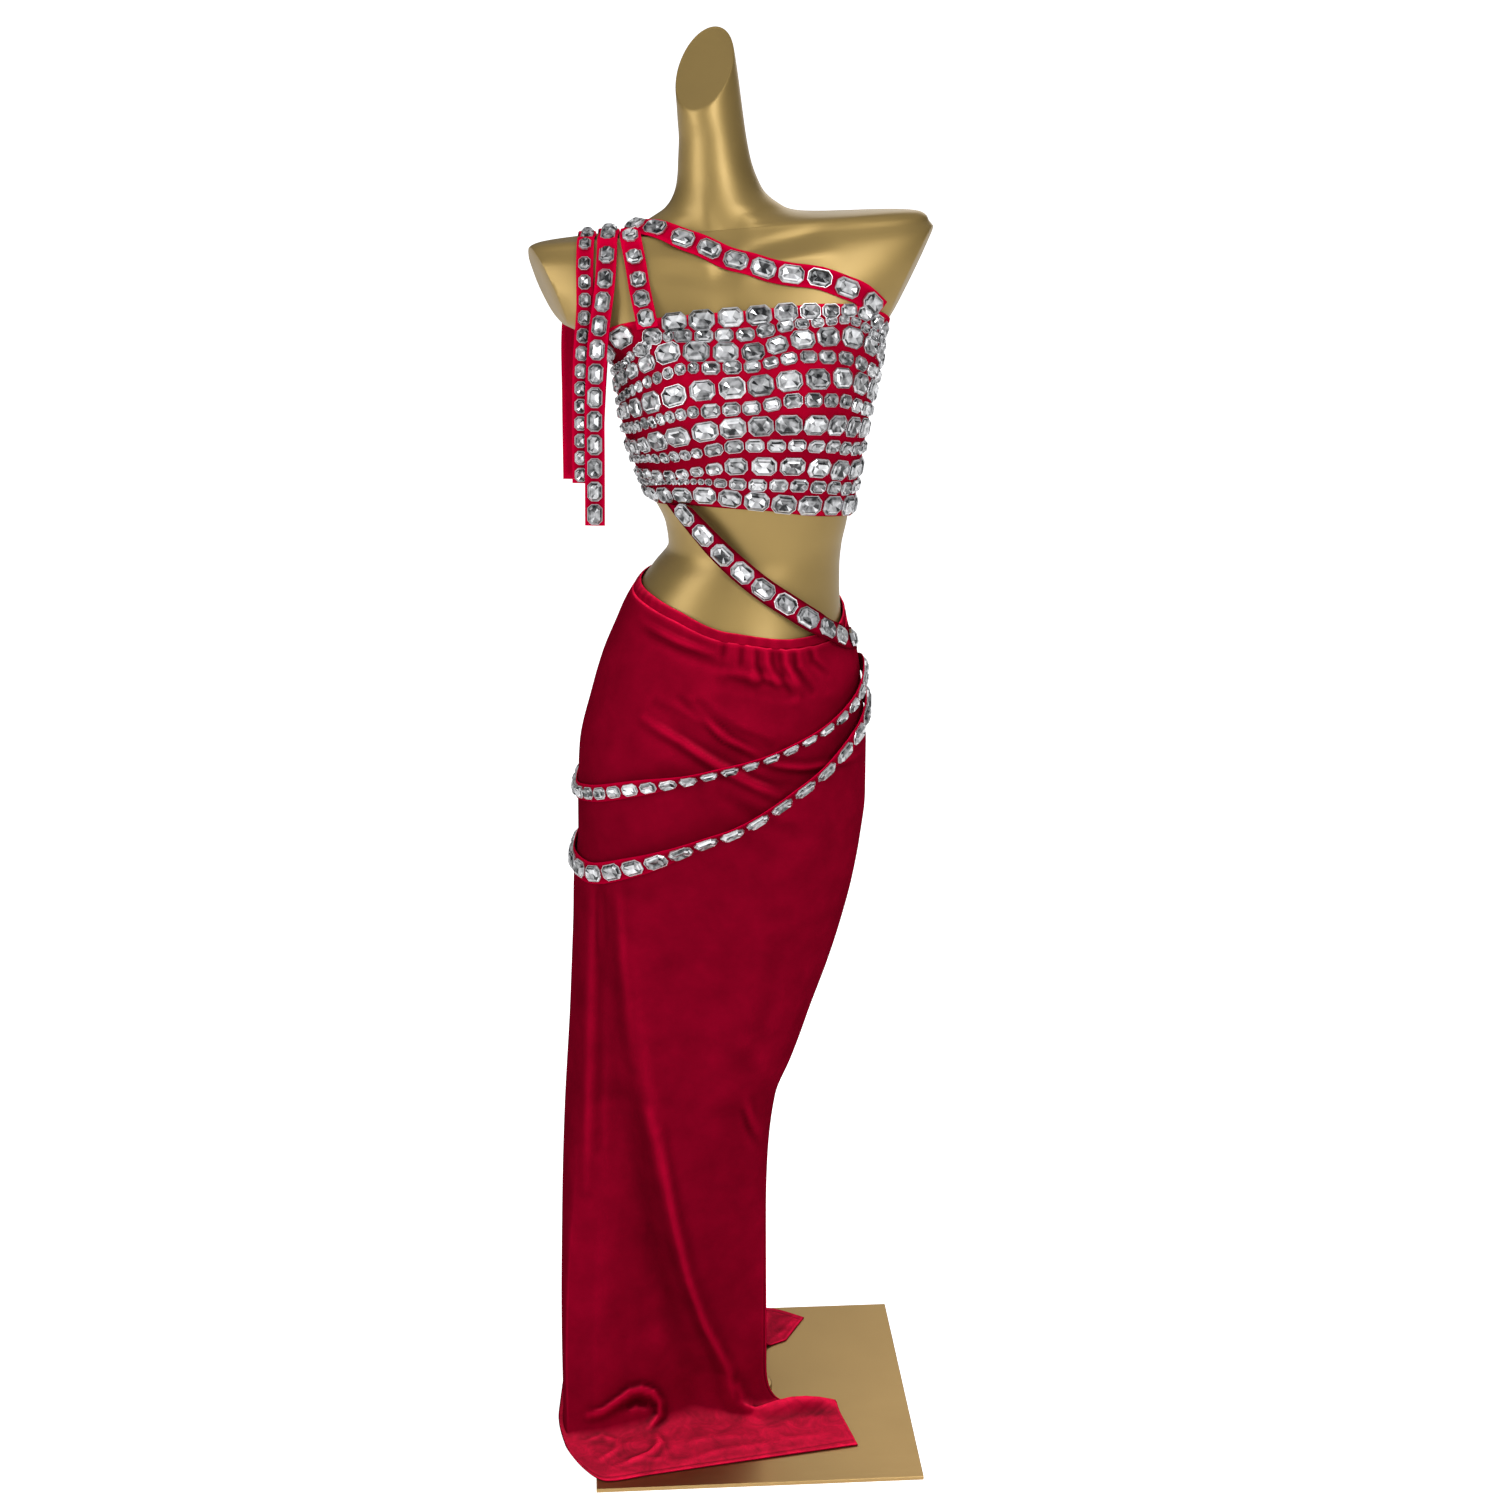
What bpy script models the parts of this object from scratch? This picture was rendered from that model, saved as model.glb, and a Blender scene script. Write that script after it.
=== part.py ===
"""Crop top and skirt set in stretch velvet, worn by a limbless dress form on a pole and plate."""
import math

import bmesh
import bpy
import numpy as np
from mathutils import Vector
from mathutils.bvhtree import BVHTree

MM = 0.001

# Plate, socket and pole
PLATE_SIDE = 380 * MM
PLATE_THICK = 5 * MM
PLATE_TURN = math.radians(3.8)
PLATE_EDGE = 0.8 * MM
SEAT_GAP = 0.3 * MM
POLE_RADIUS = 12.5 * MM
SOCKET_RADIUS = 27 * MM
SOCKET_HEIGHT = 12 * MM
SOCKET_BEVEL = 2 * MM
ROUND_SIDES = 32

# Dress form
FORM_SIDES = 28
BORE_DEPTH = 45 * MM
SHOULDER_PIVOT = -21
# height, left, right, front, back, squareness, slope across, slope front to back (mm)
FORM_ROWS = [
    (620, -160, 72, -88, 92, 2.2, 0, 0),
    (640, -176, 86, -102, 108, 2.3, 0, 0),
    (680, -188, 102, -113, 120, 2.3, 0, 0),
    (740, -192, 118, -121, 127, 2.3, 0, 0),
    (790, -190, 124, -124, 128, 2.3, 0, 0),
    (847, -179, 125, -122, 125, 2.3, 0, 0),
    (906, -170, 119, -116, 117, 2.3, 0, 0),
    (952, -157, 113, -108, 108, 2.3, 0, 0),
    (985, -144, 102, -100, 100, 2.3, 0, 0),
    (1010, -133, 99, -94, 93, 2.3, 0, 0),
    (1030, -121, 98, -90, 87, 2.3, 0, 0),
    (1050, -106, 98, -87, 83, 2.3, 0, 0),
    (1075, -89, 100, -83, 78, 2.3, 0, 0),
    (1099, -92, 105, -84, 77, 2.3, 0, 0),
    (1130, -106, 110, -88, 79, 2.3, 0, 0),
    (1170, -122, 116, -96, 82, 2.3, 0, 0),
    (1210, -133, 122, -102, 86, 2.3, 0, 0),
    (1245, -138, 129, -104, 88, 2.3, 0, 0),
    (1275, -143, 135, -100, 88, 2.3, 0, 0),
    (1300, -163, 138, -92, 87, 2.3, 0.025, 0),
    (1325, -206, 158, -81, 82, 2.3, 0.04, 0),
    (1345, -226, 176, -73, 77, 2.3, 0.06, 0),
    (1370, -246, 192, -65, 70, 2.3, 0.07, 0),
    (1392, -250, 196, -56, 61, 2.3, 0.075, 0),
    (1404, -237, 188, -49, 54, 2.3, 0.075, 0),
]
# heights at which the trunk is drawn (mm)
FORM_LEVELS = [
    620, 642, 670, 710, 755, 800, 850, 895, 930, 960, 985, 1005, 1025, 1045, 1065, 1085,
    1105, 1130, 1160, 1190, 1215, 1240, 1262, 1278, 1290, 1302, 1316, 1334, 1355, 1378, 1394, 1404,
]
# the same columns, from the shoulder's rounded top to the slanted neck cut
NECK_ROWS = [
    (1411, -227, 184, -43, 49, 2.3, 0.075, 0),
    (1414.5, -206, 173, -39, 45, 2.2, 0.082, 0),
    (1415.5, -168, 142, -38, 44, 2.1, 0.095, 0),
    (1420, -126, 84, -40, 47, 2.0, 0.085, 0),
    (1429, -98, 45, -43, 50, 2.0, 0.03, 0),
    (1438, -86, 28, -44, 49, 2.0, 0.02, 0),
    (1450, -79, 15, -40, 43, 2.0, 0, 0),
    (1465, -76, 7, -36, 38, 2.0, 0, 0),
    (1482, -75, 1, -34, 35, 2.0, 0, 0),
    (1506, -74, -4, -33, 33, 2.0, 0.04, 0.1),
    (1532, -75, -8, -33, 33, 2.0, 0.2, 0.4),
    (1560, -76, -12, -33, 33, 2.0, 0.38, 0.85),
    (1584, -77, -16, -32, 33, 2.0, 0.5, 1.15),
    (1586, -75, -18, -30, 31, 2.0, 0.5, 1.15),
]
# flat cut ends of the arms: x and height of the middle, shift of x with height and with depth (mm)
LEFT_CUT = (-220, 1360, -0.39, -0.33)
RIGHT_CUT = (167, 1360, 0.46, 0.2)
ARM_FOOT = 1296
# bust: centre x, centre height, half width, half height, rise (mm)
BUST_ROWS = [
    (-72, 1238, 50, 52, 18),
    (58, 1238, 50, 52, 18),
]

# Crop top
TOP_CLEAR = 1.6 * MM
TOP_WALL = 1.8 * MM
STONE_RISE = 5.5 * MM
SEAM_GAP = 0.5 * MM
# angle, top height, bottom height (degrees from the right side through the front, mm)
TOP_EDGES = [
    (0, 1313, 1107),
    (30, 1331, 1115),
    (60, 1342, 1122),
    (90, 1334, 1131),
    (120, 1323, 1134),
    (150, 1303, 1130),
    (180, 1286, 1128),
    (210, 1284, 1122),
    (240, 1287, 1114),
    (270, 1291, 1108),
    (300, 1295, 1104),
    (330, 1301, 1104),
    (360, 1313, 1107),
]
LARGE_ROW = 19
SMALL_ROW = 13.3
ROW_STRIP = 2
ROW_COUNT = 11
LARGE_CELLS = 14
SMALL_CELLS = 20
CROWDED_PITCH = 0.6
STONE_INSET_ALONG = 0.1
STONE_INSET_ACROSS = 0.14
LINING_COLUMNS = 22
LINING_ROWS = 12

# Straps
STRAP_THICK = 1.6 * MM
STRAP_CLEAR = 0.8 * MM
STRAP_EDGE = 3.2 * MM
STRAP_STONE_ALONG = 0.09
SETTLE_PASSES = 6
# x, y, z of each strap's middle line (mm)
NECK_PATH = [
    (-108, 82, 1299),
    (-110, 76, 1340),
    (-112, 62, 1379),
    (-117, 38, 1396),
    (-119, 12, 1402),
    (-109, -13, 1404),
    (-87, -31, 1403),
    (-52, -44, 1400),
    (-21, -54, 1390),
    (10, -60, 1381),
    (41, -62, 1373),
    (72, -62, 1367),
    (96, -58, 1358),
    (113, -51, 1350),
]
SHOULDER_PATH = [
    (-108, -84, 1334),
    (-113, -70, 1354),
    (-118, -52, 1378),
    (-123, -32, 1394),
]
TAIL_SMALL_PATH = [
    (-178, -76, 1156),
    (-177, -74, 1222),
    (-175, -70, 1284),
    (-171, -62, 1335),
    (-171, -48, 1374),
    (-170, -28, 1394),
    (-170, 0, 1402),
    (-174, 34, 1393),
    (-184, 60, 1366),
    (-197, 74, 1300),
    (-199, 78, 1220),
    (-200, 80, 1128),
]
TAIL_LARGE_PATH = [
    (-163, -92, 1114),
    (-162, -90, 1181),
    (-161, -86, 1244),
    (-157, -80, 1305),
    (-151, -68, 1350),
    (-148, -48, 1382),
    (-147, -24, 1400),
    (-147, 0, 1406),
    (-150, 30, 1401),
    (-156, 60, 1374),
    (-163, 84, 1310),
    (-171, 98, 1220),
    (-175, 98, 1150),
]
WAIST_PATH = [
    (-64, -90, 1120),
    (-34, -92, 1088),
    (-8, -92, 1063),
    (16, -94, 1044),
    (40, -94, 1028),
    (63, -90, 1012),
    (82, -78, 998),
    (96, -60, 986),
    (104, -40, 976),
    (107, -20, 969),
]
NECK_SIZES = (24 * MM, 28.5 * MM)
SHOULDER_SIZES = (22 * MM, 21 * MM)
TAIL_SMALL_SIZES = (18 * MM, 18 * MM)
TAIL_LARGE_SIZES = (21 * MM, 24 * MM)
WAIST_SIZES = (25 * MM, 28 * MM)
HIP_UPPER_SIZES = (19 * MM, 22 * MM)
HIP_LOWER_SIZES = (24 * MM, 29 * MM)
# angle, height, twist of the face towards the floor (degrees, mm, degrees)
HIP_UPPER = [
    (0, 934, 10),
    (30, 912, 20),
    (60, 885, 58),
    (90, 856, 64),
    (120, 831, 14),
    (150, 809, 0),
    (180, 797, 0),
    (210, 812, 5),
    (240, 838, 10),
    (270, 866, 15),
    (300, 892, 10),
    (330, 918, 10),
    (360, 934, 10),
]
HIP_LOWER = [
    (0, 898, 5),
    (30, 876, 15),
    (60, 836, 42),
    (90, 783, 52),
    (120, 741, 15),
    (150, 716, 0),
    (180, 714, 5),
    (210, 738, 5),
    (240, 775, 10),
    (270, 815, 15),
    (300, 852, 10),
    (330, 884, 5),
    (360, 898, 5),
]

# Skirt
CASING_HEIGHT = 11 * MM
CASING_THICK = 5 * MM
# outward share of the thickness and upward share of the height
CASING_SECTION = [(0, -0.3), (0, 0.3), (0.45, 0.5), (1, 0.25), (1, -0.25), (0.45, -0.5)]
CASING_CLEAR = 0.5 * MM
CASING_STATIONS = 2 * FORM_SIDES
CLOTH = 1.5 * MM
# angle, height of the casing's top edge (degrees, mm)
WAIST_LINE = [
    (0, 1003),
    (30, 992),
    (60, 990),
    (90, 999),
    (120, 1020),
    (150, 1032),
    (180, 1037),
    (210, 1040),
    (240, 1040),
    (270, 1036),
    (300, 1028),
    (330, 1014),
    (360, 1003),
]
# height, left, front panel's right, back panel's right, front, back,
# front panel's right edge y, back panel's right edge y, squareness (mm)
SKIRT_ROWS = [
    (60, -231, 18, 14, -96, 98, -30, 94, 2.4),
    (132, -229, 17, 12, -97, 100, -26, 90, 2.4),
    (268, -223, 18, 14, -99, 105, -20, 75, 2.4),
    (335, -220, 21, 18, -100, 108, -16, 56, 2.4),
    (420, -216, 32, 28, -103, 112, -12, 34, 2.4),
    (470, -213, 50, 45, -105, 116, -9, 22, 2.4),
    (532, -209, 70, 69, -109, 121, -5, 8, 2.35),
    (585, -206, 89, 89, -113, 125, 0, 0, 2.3),
    (640, -203, 105, 105, -119, 129, 0, 0, 2.3),
    (691, -201, 117, 117, -124, 132, 0, 0, 2.3),
    (740, -195, 125, 125, -128, 134, 0, 0, 2.3),
    (790, -194, 130, 130, -130, 134, 0, 0, 2.3),
    (847, -191, 130, 130, -128, 131, 0, 0, 2.3),
    (906, -177, 125, 125, -122, 123, 0, 0, 2.3),
    (952, -163, 119, 119, -114, 114, 0, 0, 2.3),
    (985, -149, 108, 108, -105, 105, 0, 0, 2.3),
    (1010, -138, 104, 104, -98, 97, 0, 0, 2.3),
    (1030, -126, 103, 103, -94, 91, 0, 0, 2.3),
    (1050, -111, 103, 103, -91, 87, 0, 0, 2.3),
]
SLIT_TOP = 560
WALL_FOOT = 60
FALL_TOP = 520
LOW_SEAM_GAP = 0.4 * MM
# the part of a panel that lies on the plate: share of the width, then x and y of the
# foot of the wall, of the middle of the flap and of the hem (mm)
FRONT_LANDING = [
    (0.00, -226, 22, -228, 22, -231, 22),
    (0.12, -226, -42, -228, -44, -231, -46),
    (0.24, -217, -90, -218, -104, -218, -118),
    (0.34, -186, -90, -180, -132, -166, -188),
    (0.45, -146, -76, -130, -122, -116, -176),
    (0.60, -98, -60, -66, -108, -40, -157),
    (0.75, -52, -46, 5, -88, 33, -139),
    (0.90, -6, -38, 66, -58, 95, -124),
    (1.00, 20, -32, 104, -30, 128, -116),
]
BACK_LANDING = [
    (0.00, -226, 22, -228, 22, -231, 22),
    (0.25, -208, 84, -213, 96, -219, 110),
    (0.50, -122, 100, -124, 125, -126, 150),
    (0.75, -50, 98, -44, 130, -40, 164),
    (0.90, -8, 96, 6, 140, 22, 188),
    (1.00, 14, 92, 46, 112, 70, 166),
]
# folds seen from the front: x, height of both ends, half width, rise (mm)
FRONT_FOLDS = [
    (8, 984, 2, 940, 7, 2),
    (28, 980, 22, 945, 6, -1.5),
    (48, 978, 50, 930, 8, 2.5),
    (68, 979, 84, 930, 8, 2),
    (-22, 930, 52, 905, 14, -3),
    (-105, 880, 30, 800, 20, 3),
    (-70, 885, 100, 830, 16, -2.5),
    (-120, 640, -108, 445, 26, 6),
    (-108, 445, -68, 191, 26, 13),
    (-68, 191, -30, 90, 24, 12),
    (-150, 440, -118, 150, 30, -12),
    (-20, 420, 0, 150, 26, -6),
    (-185, 700, -178, 420, 18, 4),
    (-165, 690, -158, 380, 14, -3),
    (0, 520, 24, 470, 16, 4),
]
BACK_FOLDS = [
    (-60, 985, -66, 900, 12, 2.5),
    (20, 985, 28, 900, 12, 2.5),
    (-120, 640, -130, 120, 30, 8),
    (-40, 640, -46, 120, 30, 7),
    (-82, 600, -88, 120, 26, -6),
]
FRONT_COLUMNS = 24
BACK_COLUMNS = 14
WALL_LEVELS = [
    985, 963, 938, 908, 876, 842, 806, 768, 728, 686, 642, 598, 560,
    520, 476, 428, 376, 320, 260, 198, 140, 98, 64,
]
LANDING_STEPS = 4
FLOOR_LEVEL = PLATE_THICK + SEAT_GAP + CLOTH


def clear_scene():
    for old in list(bpy.data.objects):
        bpy.data.objects.remove(old, do_unlink=True)


def make_material(name, colour, metallic, roughness):
    material = bpy.data.materials.new(name)
    material.use_nodes = True
    shader = material.node_tree.nodes["Principled BSDF"]
    shader.inputs["Base Color"].default_value = (*colour, 1)
    shader.inputs["Metallic"].default_value = metallic
    shader.inputs["Roughness"].default_value = roughness
    return material


def make_object(name, points, faces, material, smooth):
    """One closed, outward-facing body from points and faces."""
    mesh = bpy.data.meshes.new(name)
    mesh.from_pydata([tuple(p) for p in points], [], faces)
    work = bmesh.new()
    work.from_mesh(mesh)
    bmesh.ops.recalc_face_normals(work, faces=work.faces)
    work.to_mesh(mesh)
    work.free()
    mesh.materials.append(material)
    for face in mesh.polygons:
        face.use_smooth = smooth
    body = bpy.data.objects.new(name, mesh)
    collection.objects.link(body)
    return body


def smooth_value(table, at, column):
    """Monotone cubic through one column of a table whose first column rises."""
    xs = np.array([row[0] for row in table], float)
    ys = np.array([row[column] for row in table], float)
    at = min(max(at, xs[0]), xs[-1])
    k = min(int(np.searchsorted(xs, at, side="right")) - 1, len(xs) - 2)
    steps = np.diff(xs)
    slopes = np.diff(ys) / steps

    def tangent(i):
        if i == 0:
            return slopes[0]
        if i == len(xs) - 1:
            return slopes[-1]
        if slopes[i - 1] * slopes[i] <= 0:
            return 0.0
        before = 2 * steps[i] + steps[i - 1]
        after = steps[i] + 2 * steps[i - 1]
        return (before + after) / (before / slopes[i - 1] + after / slopes[i])

    t = (at - xs[k]) / steps[k]
    start = (1 + 2 * t) * (1 - t) ** 2 * ys[k]
    end = t * t * (3 - 2 * t) * ys[k + 1]
    bend = t * (1 - t) ** 2 * tangent(k) - t * t * (1 - t) * tangent(k + 1)
    return start + end + bend * steps[k]


def ease(value):
    value = min(max(value, 0.0), 1.0)
    return value * value * (3 - 2 * value)


def ring_point(row, angle):
    """Point of a body ring: angle runs from the right side through the front."""
    height, left, right, front, back, square, across, along = row
    turn = math.radians(angle)
    cosine = math.cos(turn)
    sine = math.sin(turn)
    power = 2 / square
    x = (left + right) / 2 + (right - left) / 2 * math.copysign(abs(cosine) ** power, cosine)
    depth = -front if sine > 0 else back
    y = -depth * math.copysign(abs(sine) ** power, sine)
    z = height + across * (x - SHOULDER_PIVOT) + along * y
    for centre, level, half_width, half_height, rise in BUST_ROWS:
        if y < 0:
            spread = ((x - centre) / half_width) ** 2 + ((z - level) / half_height) ** 2
            y -= rise * math.exp(-spread) * min(1.0, -y / 30)
    return Vector((trim_arm(x, y, z), y, z)) * MM


def trim_arm(x, y, z):
    """Pull a place of the form back to the flat cut of the nearer arm."""
    if z < ARM_FOOT:
        return x
    middle, level, rise_share, depth_share = LEFT_CUT if x < SHOULDER_PIVOT else RIGHT_CUT
    limit = middle + rise_share * (z - level) + depth_share * y
    return max(x, limit) if x < SHOULDER_PIVOT else min(x, limit)


def form_row(height):
    return (height, *[smooth_value(FORM_ROWS, height, k) for k in range(1, 8)])


def torso_point(height, angle):
    """Point of the form's trunk at a true height (mm) and an angle."""
    level = height
    for _ in range(4):
        level += height - ring_point(form_row(level), angle).z / MM
    return ring_point(form_row(level), angle)


def torso_normal(height, angle):
    along = torso_point(height, angle + 1) - torso_point(height, angle - 1)
    up = torso_point(height + 3, angle) - torso_point(height - 3, angle)
    return up.cross(along).normalized()


def angle_value(table, angle, column):
    """Value of a closed table whose first column is the angle, 0 to 360."""
    lap = [(row[0] - 360, *row[1:]) for row in table[-4:-1]]
    next_lap = [(row[0] + 360, *row[1:]) for row in table[1:4]]
    return smooth_value(lap + table + next_lap, angle % 360, column)


def loft(rings, close_ends=True):
    """Faces between rings of the same count, with both ends capped."""
    count = len(rings[0])
    points = [p for ring in rings for p in ring]
    faces = []
    for k in range(len(rings) - 1):
        for i in range(count):
            j = (i + 1) % count
            faces.append((k * count + i, k * count + j, (k + 1) * count + j, (k + 1) * count + i))
    if close_ends:
        last = (len(rings) - 1) * count
        faces.append(tuple(range(count)))
        faces.append(tuple(last + i for i in range(count)))
    return points, faces


def circle(radius, height, sides):
    turns = [math.tau * i / sides for i in range(sides)]
    return [Vector((radius * math.cos(t), -radius * math.sin(t), height)) for t in turns]


def form_rings():
    """Rings of the form from the bottom edge to the neck cut."""
    angles = [360 * i / FORM_SIDES for i in range(FORM_SIDES)]
    rows = [form_row(level) for level in FORM_LEVELS] + NECK_ROWS
    return [[ring_point(row, a) for a in angles] for row in rows]


def build_form(material):
    rings = form_rings()
    foot = FORM_ROWS[0][0] * MM
    bore = POLE_RADIUS + SEAT_GAP
    inside = [circle(bore, foot + BORE_DEPTH, FORM_SIDES), circle(bore, foot, FORM_SIDES)]
    rim = [Vector((p.x * 0.9 - 0.004, p.y * 0.9, foot)) for p in rings[0]]
    rings[0] = [p + Vector((0, 0, 6 * MM)) for p in rings[0]]
    points, faces = loft(inside + [rim] + rings)
    return make_object("dress_form", points, faces, material, True)


def surface_tree(bodies, grids=()):
    """Search tree over whole bodies and over the outer faces of cloth grids."""
    points = []
    faces = []
    for grid, turned in grids:
        columns = len(grid[0])
        start = len(points)
        points += [p for row in grid for p in row]
        for r in range(len(grid) - 1):
            for c in range(columns - 1):
                a = start + r * columns + c
                quad = (a, a + 1, a + columns + 1, a + columns)
                faces.append(quad if turned else quad[::-1])
    for body in bodies:
        start = len(points)
        points += [v.co.copy() for v in body.data.vertices]
        faces += [tuple(start + i for i in face.vertices) for face in body.data.polygons]
    return BVHTree.FromPolygons(points, faces)


def zip_faces(first, first_at, second, second_at):
    """Triangles between two chains of points with their places from 0 to 1."""
    faces = []
    i = 0
    j = 0
    while i < len(first) - 1 or j < len(second) - 1:
        step_first = j == len(second) - 1
        if i < len(first) - 1 and j < len(second) - 1:
            step_first = first_at[i + 1] + first_at[i] < second_at[j + 1] + second_at[j]
        if step_first:
            faces.append((first[i], first[i + 1], second[j]))
            i += 1
        else:
            faces.append((first[i], second[j + 1], second[j]))
            j += 1
    return faces


def stone_cell(points, faces, base, tops):
    """Raised stone on a cell of four base points."""
    start = len(points)
    points += tops
    faces.append((start, start + 1, start + 2, start + 3))
    for k in range(4):
        n = (k + 1) % 4
        faces.append((base[k], base[n], start + n, start + k))


def top_rows():
    """Bands of the crop top from its top edge to its bottom edge, as shares."""
    sizes = [LARGE_ROW if k % 2 == 0 else SMALL_ROW for k in range(ROW_COUNT)]
    total = sum(sizes) + ROW_STRIP * (ROW_COUNT - 1)
    bands = []
    at = 0
    for size in sizes:
        bands.append((at / total, (at + size) / total))
        at += size + ROW_STRIP
    return bands


def cell_places(count, crowded_start):
    """Cell edges from 0 to 1; the cells crowd towards the start when asked."""
    if crowded_start:
        weights = [CROWDED_PITCH + (1 - CROWDED_PITCH) * ease(3 * k / count) for k in range(count)]
    else:
        weights = [1] * count
    edges = np.concatenate([[0], np.cumsum(weights)])
    return edges / edges[-1]


def build_top(name, start, end, crowded_start, material):
    """Panel of the crop top between two angles: a wall with rows of raised stones."""
    middle = 1215
    trial = np.linspace(start, end, 91)
    path = [torso_point(middle, a) for a in trial]
    run = [0.0]
    for k in range(90):
        run.append(run[-1] + (path[k + 1] - path[k]).length)
    margin = SEAM_GAP / 2 / run[-1]

    def point(share, level, offset):
        share = margin + share * (1 - 2 * margin)
        angle = float(np.interp(share * run[-1], run, trial))
        top = angle_value(TOP_EDGES, angle, 1)
        bottom = angle_value(TOP_EDGES, angle, 2)
        height = top + (bottom - top) * level
        return torso_point(height, angle) + torso_normal(height, angle) * offset

    base_offset = TOP_CLEAR + TOP_WALL
    points = []
    faces = []
    chains = []
    for k, (low, high) in enumerate(top_rows()):
        places = cell_places(LARGE_CELLS if k % 2 == 0 else SMALL_CELLS, crowded_start)
        for level in (low, high):
            chains.append((list(range(len(points), len(points) + len(places))), places))
            points += [point(u, level, base_offset) for u in places]
        upper = chains[-2][0]
        lower = chains[-1][0]
        for i in range(len(places) - 1):
            inset = (places[i + 1] - places[i]) * STONE_INSET_ALONG
            left = places[i] + inset
            right = places[i + 1] - inset
            drop = (high - low) * STONE_INSET_ACROSS
            corners = [(left, low + drop), (right, low + drop), (right, high - drop), (left, high - drop)]
            tops = [point(u, v, base_offset + STONE_RISE) for u, v in corners]
            stone_cell(points, faces, (upper[i], upper[i + 1], lower[i + 1], lower[i]), tops)
    for k in range(1, len(chains) - 1, 2):
        faces += zip_faces(chains[k][0], chains[k][1], chains[k + 1][0], chains[k + 1][1])

    lining = []
    for r in range(LINING_ROWS + 1):
        lining.append(list(range(len(points), len(points) + LINING_COLUMNS + 1)))
        shares = [c / LINING_COLUMNS for c in range(LINING_COLUMNS + 1)]
        points += [point(u, r / LINING_ROWS, TOP_CLEAR) for u in shares]
    for r in range(LINING_ROWS):
        for c in range(LINING_COLUMNS):
            faces.append((lining[r][c], lining[r][c + 1], lining[r + 1][c + 1], lining[r + 1][c]))
    across = [c / LINING_COLUMNS for c in range(LINING_COLUMNS + 1)]
    faces += zip_faces(chains[0][0], chains[0][1], lining[0], across)
    faces += zip_faces(chains[-1][0], chains[-1][1], lining[-1], across)
    levels = [v for band in top_rows() for v in band]
    down = [r / LINING_ROWS for r in range(LINING_ROWS + 1)]
    for side in (0, -1):
        outer = [chain[0][side] for chain in chains]
        faces += zip_faces(outer, levels, [row[side] for row in lining], down)
    return make_object(name, points, faces, material, False)


def curve_points(table, per_span):
    """Smooth curve through a table of points (mm)."""
    knots = [Vector(row) * MM for row in table]
    knots = [knots[0] * 2 - knots[1]] + knots + [knots[-1] * 2 - knots[-2]]
    line = []
    for k in range(1, len(knots) - 2):
        a, b, c, d = knots[k - 1:k + 3]
        for i in range(per_span):
            t = i / per_span
            linear = (c - a) * t
            square = (a * 2 - b * 5 + c * 4 - d) * t * t
            cubic = (b * 3 - a - c * 3 + d) * t ** 3
            line.append((b * 2 + linear + square + cubic) / 2)
    line.append(knots[-2])
    return line


def even_stations(line, pitch):
    """Points one pitch apart along a line."""
    run = [0.0]
    for a, b in zip(line, line[1:]):
        run.append(run[-1] + (b - a).length)
    count = max(2, round(run[-1] / pitch))
    stations = []
    for k in range(count + 1):
        at = run[-1] * k / count
        i = min(int(np.searchsorted(run, at, side="right")) - 1, len(line) - 2)
        share = (at - run[i]) / (run[i + 1] - run[i])
        stations.append(line[i].lerp(line[i + 1], share))
    return stations


def direction(line, k, closed):
    count = len(line)
    if closed:
        return (line[(k + 1) % count] - line[k - 1]).normalized()
    return (line[min(k + 1, count - 1)] - line[max(k - 1, 0)]).normalized()


def settle(frames, outs, tree, width, closed):
    """Raise the stations of a strap until its underside clears a surface everywhere."""
    count = len(frames)
    for _ in range(SETTLE_PASSES):
        lifts = [0.0] * count
        for k in range(count if closed else count - 1):
            n = (k + 1) % count
            for share in (0, 0.25, 0.5, 0.75, 1):
                middle = frames[k][0].lerp(frames[n][0], share)
                side = frames[k][1].lerp(frames[n][1], share)
                for across in (-0.5, -0.25, 0, 0.25, 0.5):
                    spot = middle + side * width * across
                    place, normal, _, _ = tree.find_nearest(spot)
                    lift = STRAP_CLEAR - (spot - place).dot(normal)
                    if share < 1:
                        lifts[k] = max(lifts[k], lift)
                    if share > 0:
                        lifts[n] = max(lifts[n], lift)
        frames = [(p + out * lift, s, f) for (p, s, f), out, lift in zip(frames, outs, lifts)]
    return frames


def strap_frames(line, tree, width, closed, facing=None, twists=None):
    """Middle point, side and face direction of a strap at each station, laid on a surface."""
    count = len(line)
    faces = []
    for k, point in enumerate(line):
        _, normal, _, _ = tree.find_nearest(point)
        if facing is not None:
            normal = direction(line, k, closed).cross(facing)
            if normal.dot(point - Vector((point.x, 0, 1350 * MM))) < 0:
                normal = -normal
        faces.append(normal)
    frames = []
    outs = []
    for k, point in enumerate(line):
        along = direction(line, k, closed)
        before = faces[k - 1] if closed or k > 0 else faces[k]
        after = faces[(k + 1) % count] if closed or k < count - 1 else faces[k]
        face = before + faces[k] * 2 + after
        face = (face - along * face.dot(along)).normalized()
        side = face.cross(along)
        outs.append(face)
        if twists is not None:
            turn = math.radians(twists[k])
            up = side if side.z > 0 else -side
            face = face * math.cos(turn) - up * math.sin(turn)
            side = face.cross(along)
        frames.append((point, side, face))
    return settle(frames, outs, tree, width, closed)


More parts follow.
